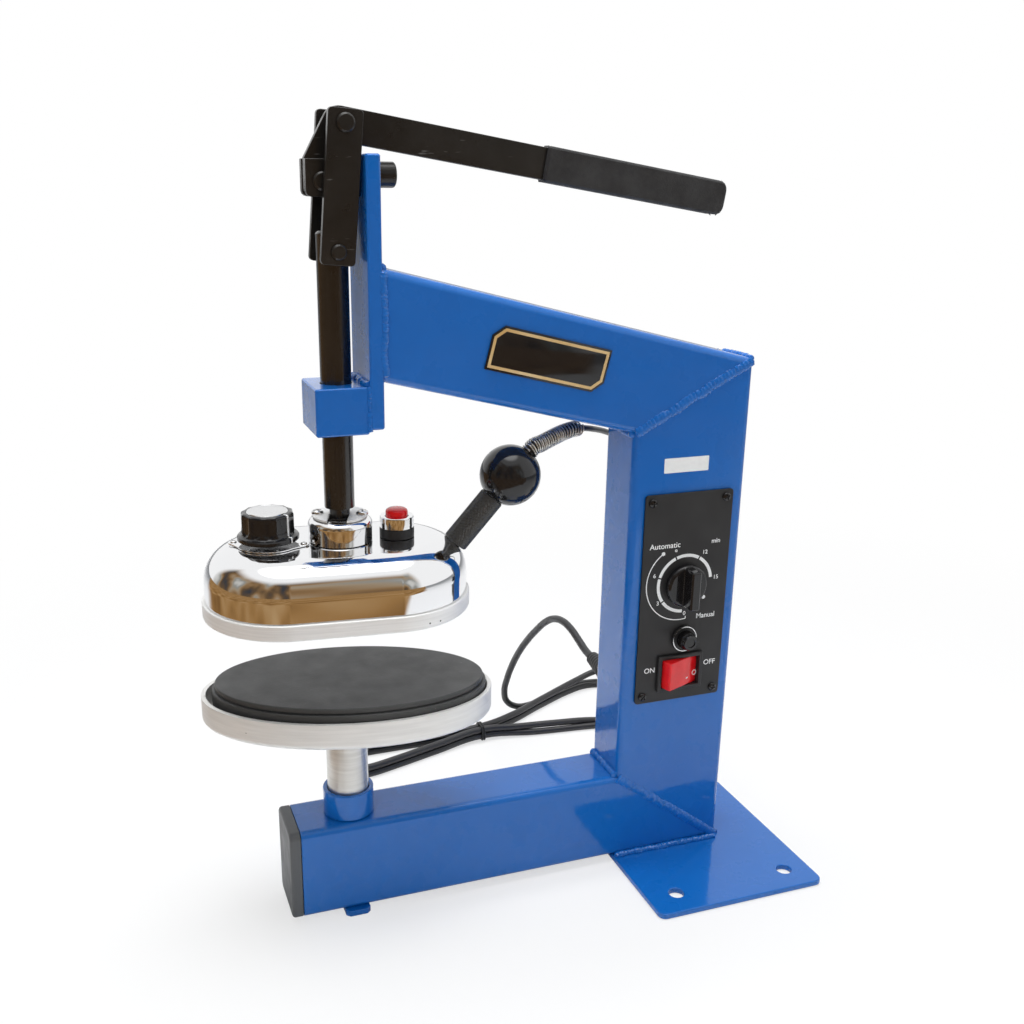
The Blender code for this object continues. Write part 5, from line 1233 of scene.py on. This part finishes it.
# %% [markdown]
# ## Platen
#
# The platen is a shallow cast tray on a turned stem, and a rubber pad sits in it with a narrow
# gap all round. Tray and pad are discs pulled into ovals. The tray's hollow is one inset, pushed
# down, and the pad's step is a second, smaller oval on the first.

# %% Tray
PLATEN = at(PRESS_X, 0, 0) @ turn(-13.2, "Z") @ at(1.8, 0, 0)
TRAY_LENGTH, TRAY_WIDTH, TRAY_LOW, TRAY_TALL = 87.9, 51, 132.3, 16.7
RIM, HOLLOW = 2.8, 12.7
OVAL_SIDES = 144

tray = thicken(oval(TRAY_LENGTH, TRAY_WIDTH, OVAL_SIDES), TRAY_TALL)
top = max(tray.faces, key=lambda f: f.calc_center_median().z)
bmesh.ops.inset_region(tray, faces=[top], thickness=RIM * MM, use_even_offset=True, use_boundary=True)
grown = bmesh.ops.extrude_face_region(tray, geom=[top])["geom"]
bmesh.ops.translate(tray, verts=[v for v in grown if isinstance(v, bmesh.types.BMVert)],
                    vec=(0, 0, -HOLLOW * MM))
if top.is_valid:
    bmesh.ops.delete(tray, geom=[top], context="FACES_ONLY")
bmesh.ops.recalc_face_normals(tray, faces=tray.faces)
round_edges(tray, 3.6 * MM, 6, only=lambda e: max(v.co.z for v in e.verts) < 0.1 * MM)
round_edges(tray, 0.5 * MM, 2, only=lambda e: min(v.co.z for v in e.verts) > 16 * MM)
even_shading(add_piece("tray", moved(tray, PLATEN, at(0, 0, TRAY_LOW)), cast_tray,
                       "platen", ["platen_tray"]))
print("tray", 2 * TRAY_LENGTH, "by", 2 * TRAY_WIDTH, "mm")

# %% Pad and stem
pad = thicken(oval(82.8, 47.2, OVAL_SIDES), 16.2)
raised = thicken(oval(81, 45.4, OVAL_SIDES), 3.6)
round_edges(pad, 0.6 * MM, 3)
round_edges(raised, 0.9 * MM, 3)
pad = join(moved(pad, at(1.5, 0, 136.6)), moved(raised, at(1.5, 0, 152.8)))
even_shading(add_piece("pad", moved(pad, PLATEN), pad_rubber, "platen", ["platen_pad"]))

stem = turned([(0, 7.6), (11.3, 7.6), (12.8, 9.1), (12.8, 131.4), (12.3, 132), (0, 132)], 96)
even_shading(add_piece("stem", moved(stem, at(PRESS_X, 0, 0)), turned_steel, "platen",
                       ["platen_stem"]))
print("pad and stem added")

# %% [markdown]
# ## Print on the panel
#
# The print is white ink a few hundredths of a millimetre thick. Numbers and words are text
# objects turned into mesh, and the dial's rings are a short line spun part of the way round.
# Only plain control words and numbers are printed.

# %% Ways to print
INK = 0.06
PANEL_FACE = -21.8
CAPITAL_SHARE = 0.7


def on_front(x, z, y=PANEL_FACE):
    """Place on the front of the machine: X right, Y up, Z towards the viewer."""
    return at(x, y, z) @ turn(90, "X")


def lettering(words, height):
    data = bpy.data.curves.new("lettering", "FONT")
    data.body = words
    data.size = height / CAPITAL_SHARE * MM
    data.align_x, data.align_y = "CENTER", "CENTER"
    data.extrude = 0.04 * MM
    data.offset = 0.04 * MM
    obj = bpy.data.objects.new("lettering", data)
    scene.collection.objects.link(obj)
    return meshed(obj)


def arc_band(radius, width, start, end):
    """Flat ring segment from one angle to another."""
    bm = bmesh.new()
    ends = [bm.verts.new(((radius + w) * MM, 0, 0)) for w in (-width / 2, width / 2)]
    bmesh.ops.rotate(bm, verts=ends, cent=(0, 0, 0), matrix=Matrix.Rotation(math.radians(start), 3, "Z"))
    bmesh.ops.spin(bm, geom=ends + [bm.edges.new(ends)], cent=(0, 0, 0), axis=(0, 0, 1),
                   angle=math.radians(end - start), steps=max(4, round((end - start) / 4)))
    return thicken(bm, INK)


print("print tools ready")

# %% Print on the panel
DIAL = on_front(0, 198.8)
print_parts = [moved(arc_band(18.9, 2.1, start, end), DIAL)
               for start, end in ((7, 58.5), (61.5, 110.5), (113.5, 162.5), (165.5, 214.5), (217.5, 268))]
print_parts.append(moved(arc_band(25.4, 0.6, 125, 279.6), on_front(-2, 199.5)))
print_parts.append(moved(box(-0.3, 0.3, 0, 1.6, 0, INK), on_front(2.2, 174.4)))
for words, size, x, z in (("0", 2.7, 1.2, 178), ("3", 2.7, -18.6, 187), ("6", 2.7, -22, 206),
                          ("9", 2.7, -7.6, 220.9), ("12", 2.7, 13.4, 218.6), ("15", 2.7, 22.6, 200.7),
                          ("min", 3, 20.8, 225.6), ("Automatic", 3.6, -15.6, 225.4),
                          ("Manual", 3.4, 17, 174.9), ("ON", 3.5, -21.6, 140.4),
                          ("OFF", 3.5, 22.6, 140.8)):
    print_parts.append(moved(lettering(words, size), on_front(x, z)))
for x, z in ((-16.6, 220.3), (14.6, 187.8)):
    print_parts.append(moved(thicken(disc(1.3, 24), INK), on_front(x, z)))
add_piece("panel_print", join(*print_parts), white_ink, "frame")
print("print pieces:", len(print_parts))

# %% Panel screws and rocker marks
corners = [pan_screw(2.9, 1.6, on_front(x, z) @ turn(25 * n, "Z"))
           for n, (x, z) in enumerate(((-26, 254.4), (26, 254.4), (-26, 122.4), (26, 122.4)))]
add_piece("panel_screws", join(*corners), gloss_black, "frame",
          ["panel_screw_top_left", "panel_screw_top_right", "panel_screw_low_left", "panel_screw_low_right"])

KEY_SLOPE = 11.2
dash_place = at(-3.2, -8.45, -0.8) @ turn(KEY_SLOPE, "Z") @ turn(90, "X")
ring_place = at(4.4, -8.28, 0.8) @ turn(-KEY_SLOPE, "Z") @ turn(90, "X")
dash = moved(box(-1, 1, -0.25, 0.25, 0, 0.3), LIFTED_KEY @ dash_place)
ring = moved(arc_band(1.6, 0.35, 0, 360), LIFTED_KEY @ ring_place)
add_piece("rocker_marks", join(dash, ring), white_ink, "switch")
print("panel screws:", len(corners))

# %% [markdown]
# ## Fuse cap
#
# The fuse sits under a small screw cap with thirty fine ribs, in a holder with a thin bright
# metal ring at its rim, which stands in for the highlight along the rim's edge. The ribs are a
# wave again, on a cap that is spun with four sides to each.

# %% Fuse cap
FUSE_X, FUSE_Z = 1.6, 160.9
RIBS, RIB, FUSE_SHARE, FUSE_TALL = 30, 0.3, 0.88, 10.5

profile = [(0, 0), (6.1, 0), (6.3, 0.3)] + [(6.6, 0.6 + 0.45 * i) for i in range(16)]
profile += [(6.3, 7.8), (6, 8.3), (5.7, 10), (5.2, FUSE_TALL), (3.4, FUSE_TALL), (3.2, 9.8), (0, 9.8)]
fuse = turned(profile, RIBS * 4)
for v in fuse.verts:
    around = math.hypot(v.co.x, v.co.y)
    if around > 6.55 * MM:
        outward = 1 + RIB * MM * math.cos(RIBS * math.atan2(v.co.y, v.co.x)) / around
        v.co.x *= outward
        v.co.y *= outward
fuse = moved(fuse, Matrix.Diagonal((FUSE_SHARE, FUSE_SHARE, 1, 1)))
cap_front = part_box("fuse_cap")[0][1] / MM
add_piece("knurled_cap", moved(fuse, on_front(FUSE_X, FUSE_Z, cap_front + FUSE_TALL)), gloss_black,
          "fuse", ["fuse_cap"])
# The thin bright metal ring stands in for the highlight along the holder's rounded rim.
ring = turned([(8.1, 0), (8.6, 0), (8.6, 0.3), (8.1, 0.3)], 64, closed=True)
holder_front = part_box("fuse_holder")[0][1] / MM
add_piece("fuse_ring", moved(ring, on_front(FUSE_X, FUSE_Z, holder_front)), bright_plate,
          "frame")
print("fuse cap stands out", round(holder_front - cap_front, 1), "mm")

# %% [markdown]
# ## Nameplate and label
#
# The plate on the arm is dark, with two opposite corners cut off and a gold border, and it is
# left blank here. Its outline has six points. The border is a ring of six faces between that
# outline drawn in a little and drawn in further. The cuts grow shorter on the way, by 0.586 of
# the distance, which keeps the ring equally wide at its slanting corners.

# %% Nameplate and label
ARM = on_front(-97.8, 344.15, -21.1) @ turn(-14, "Z")
PLATE_LEFT, PLATE_RIGHT, PLATE_FOOT, PLATE_TOP = -38.5, 36.9, -10.8, 15.4
CUT, CUT_LOSS = 6.6, 0.586
BORDER_OUTSIDE, BORDER_INSIDE = 1.3, 3.0


def cut_corner_outline(bm, inward):
    """Points of the nameplate's outline, two opposite corners cut off, drawn in by a distance."""
    left, right = PLATE_LEFT + inward, PLATE_RIGHT - inward
    foot, head = PLATE_FOOT + inward, PLATE_TOP - inward
    cut = CUT - CUT_LOSS * inward
    corners = ((left, foot), (right - cut, foot), (right, foot + cut), (right, head), (left + cut, head),
               (left, head - cut))
    return [bm.verts.new((x * MM, y * MM, 0)) for x, y in corners]


plate = bmesh.new()
plate.faces.new(cut_corner_outline(plate, 0))
plate = thicken(plate, 0.8)
round_edges(plate, 0.15 * MM, 2)
add_piece("dark_nameplate", moved(plate, ARM, at(0, 0, -0.8)), gloss_black, "frame",
          ["nameplate"])
border = bmesh.new()
outer, inner = (cut_corner_outline(border, inward) for inward in (BORDER_OUTSIDE, BORDER_INSIDE))
for i in range(len(outer)):
    border.faces.new((outer[i - 1], outer[i], inner[i], inner[i - 1]))
add_piece("nameplate_border", moved(thicken(border, 0.12), ARM), gold_line, "frame")
label = thicken(rounded_rectangle(31.1, 9.4, 0.6), 0.15)
add_piece("blank_label", moved(label, on_front(-3.2, 277.1, -20.05)), label_paper, "frame")
print("nameplate", round(PLATE_RIGHT - PLATE_LEFT, 1), "by", round(PLATE_TOP - PLATE_FOOT, 1), "mm")
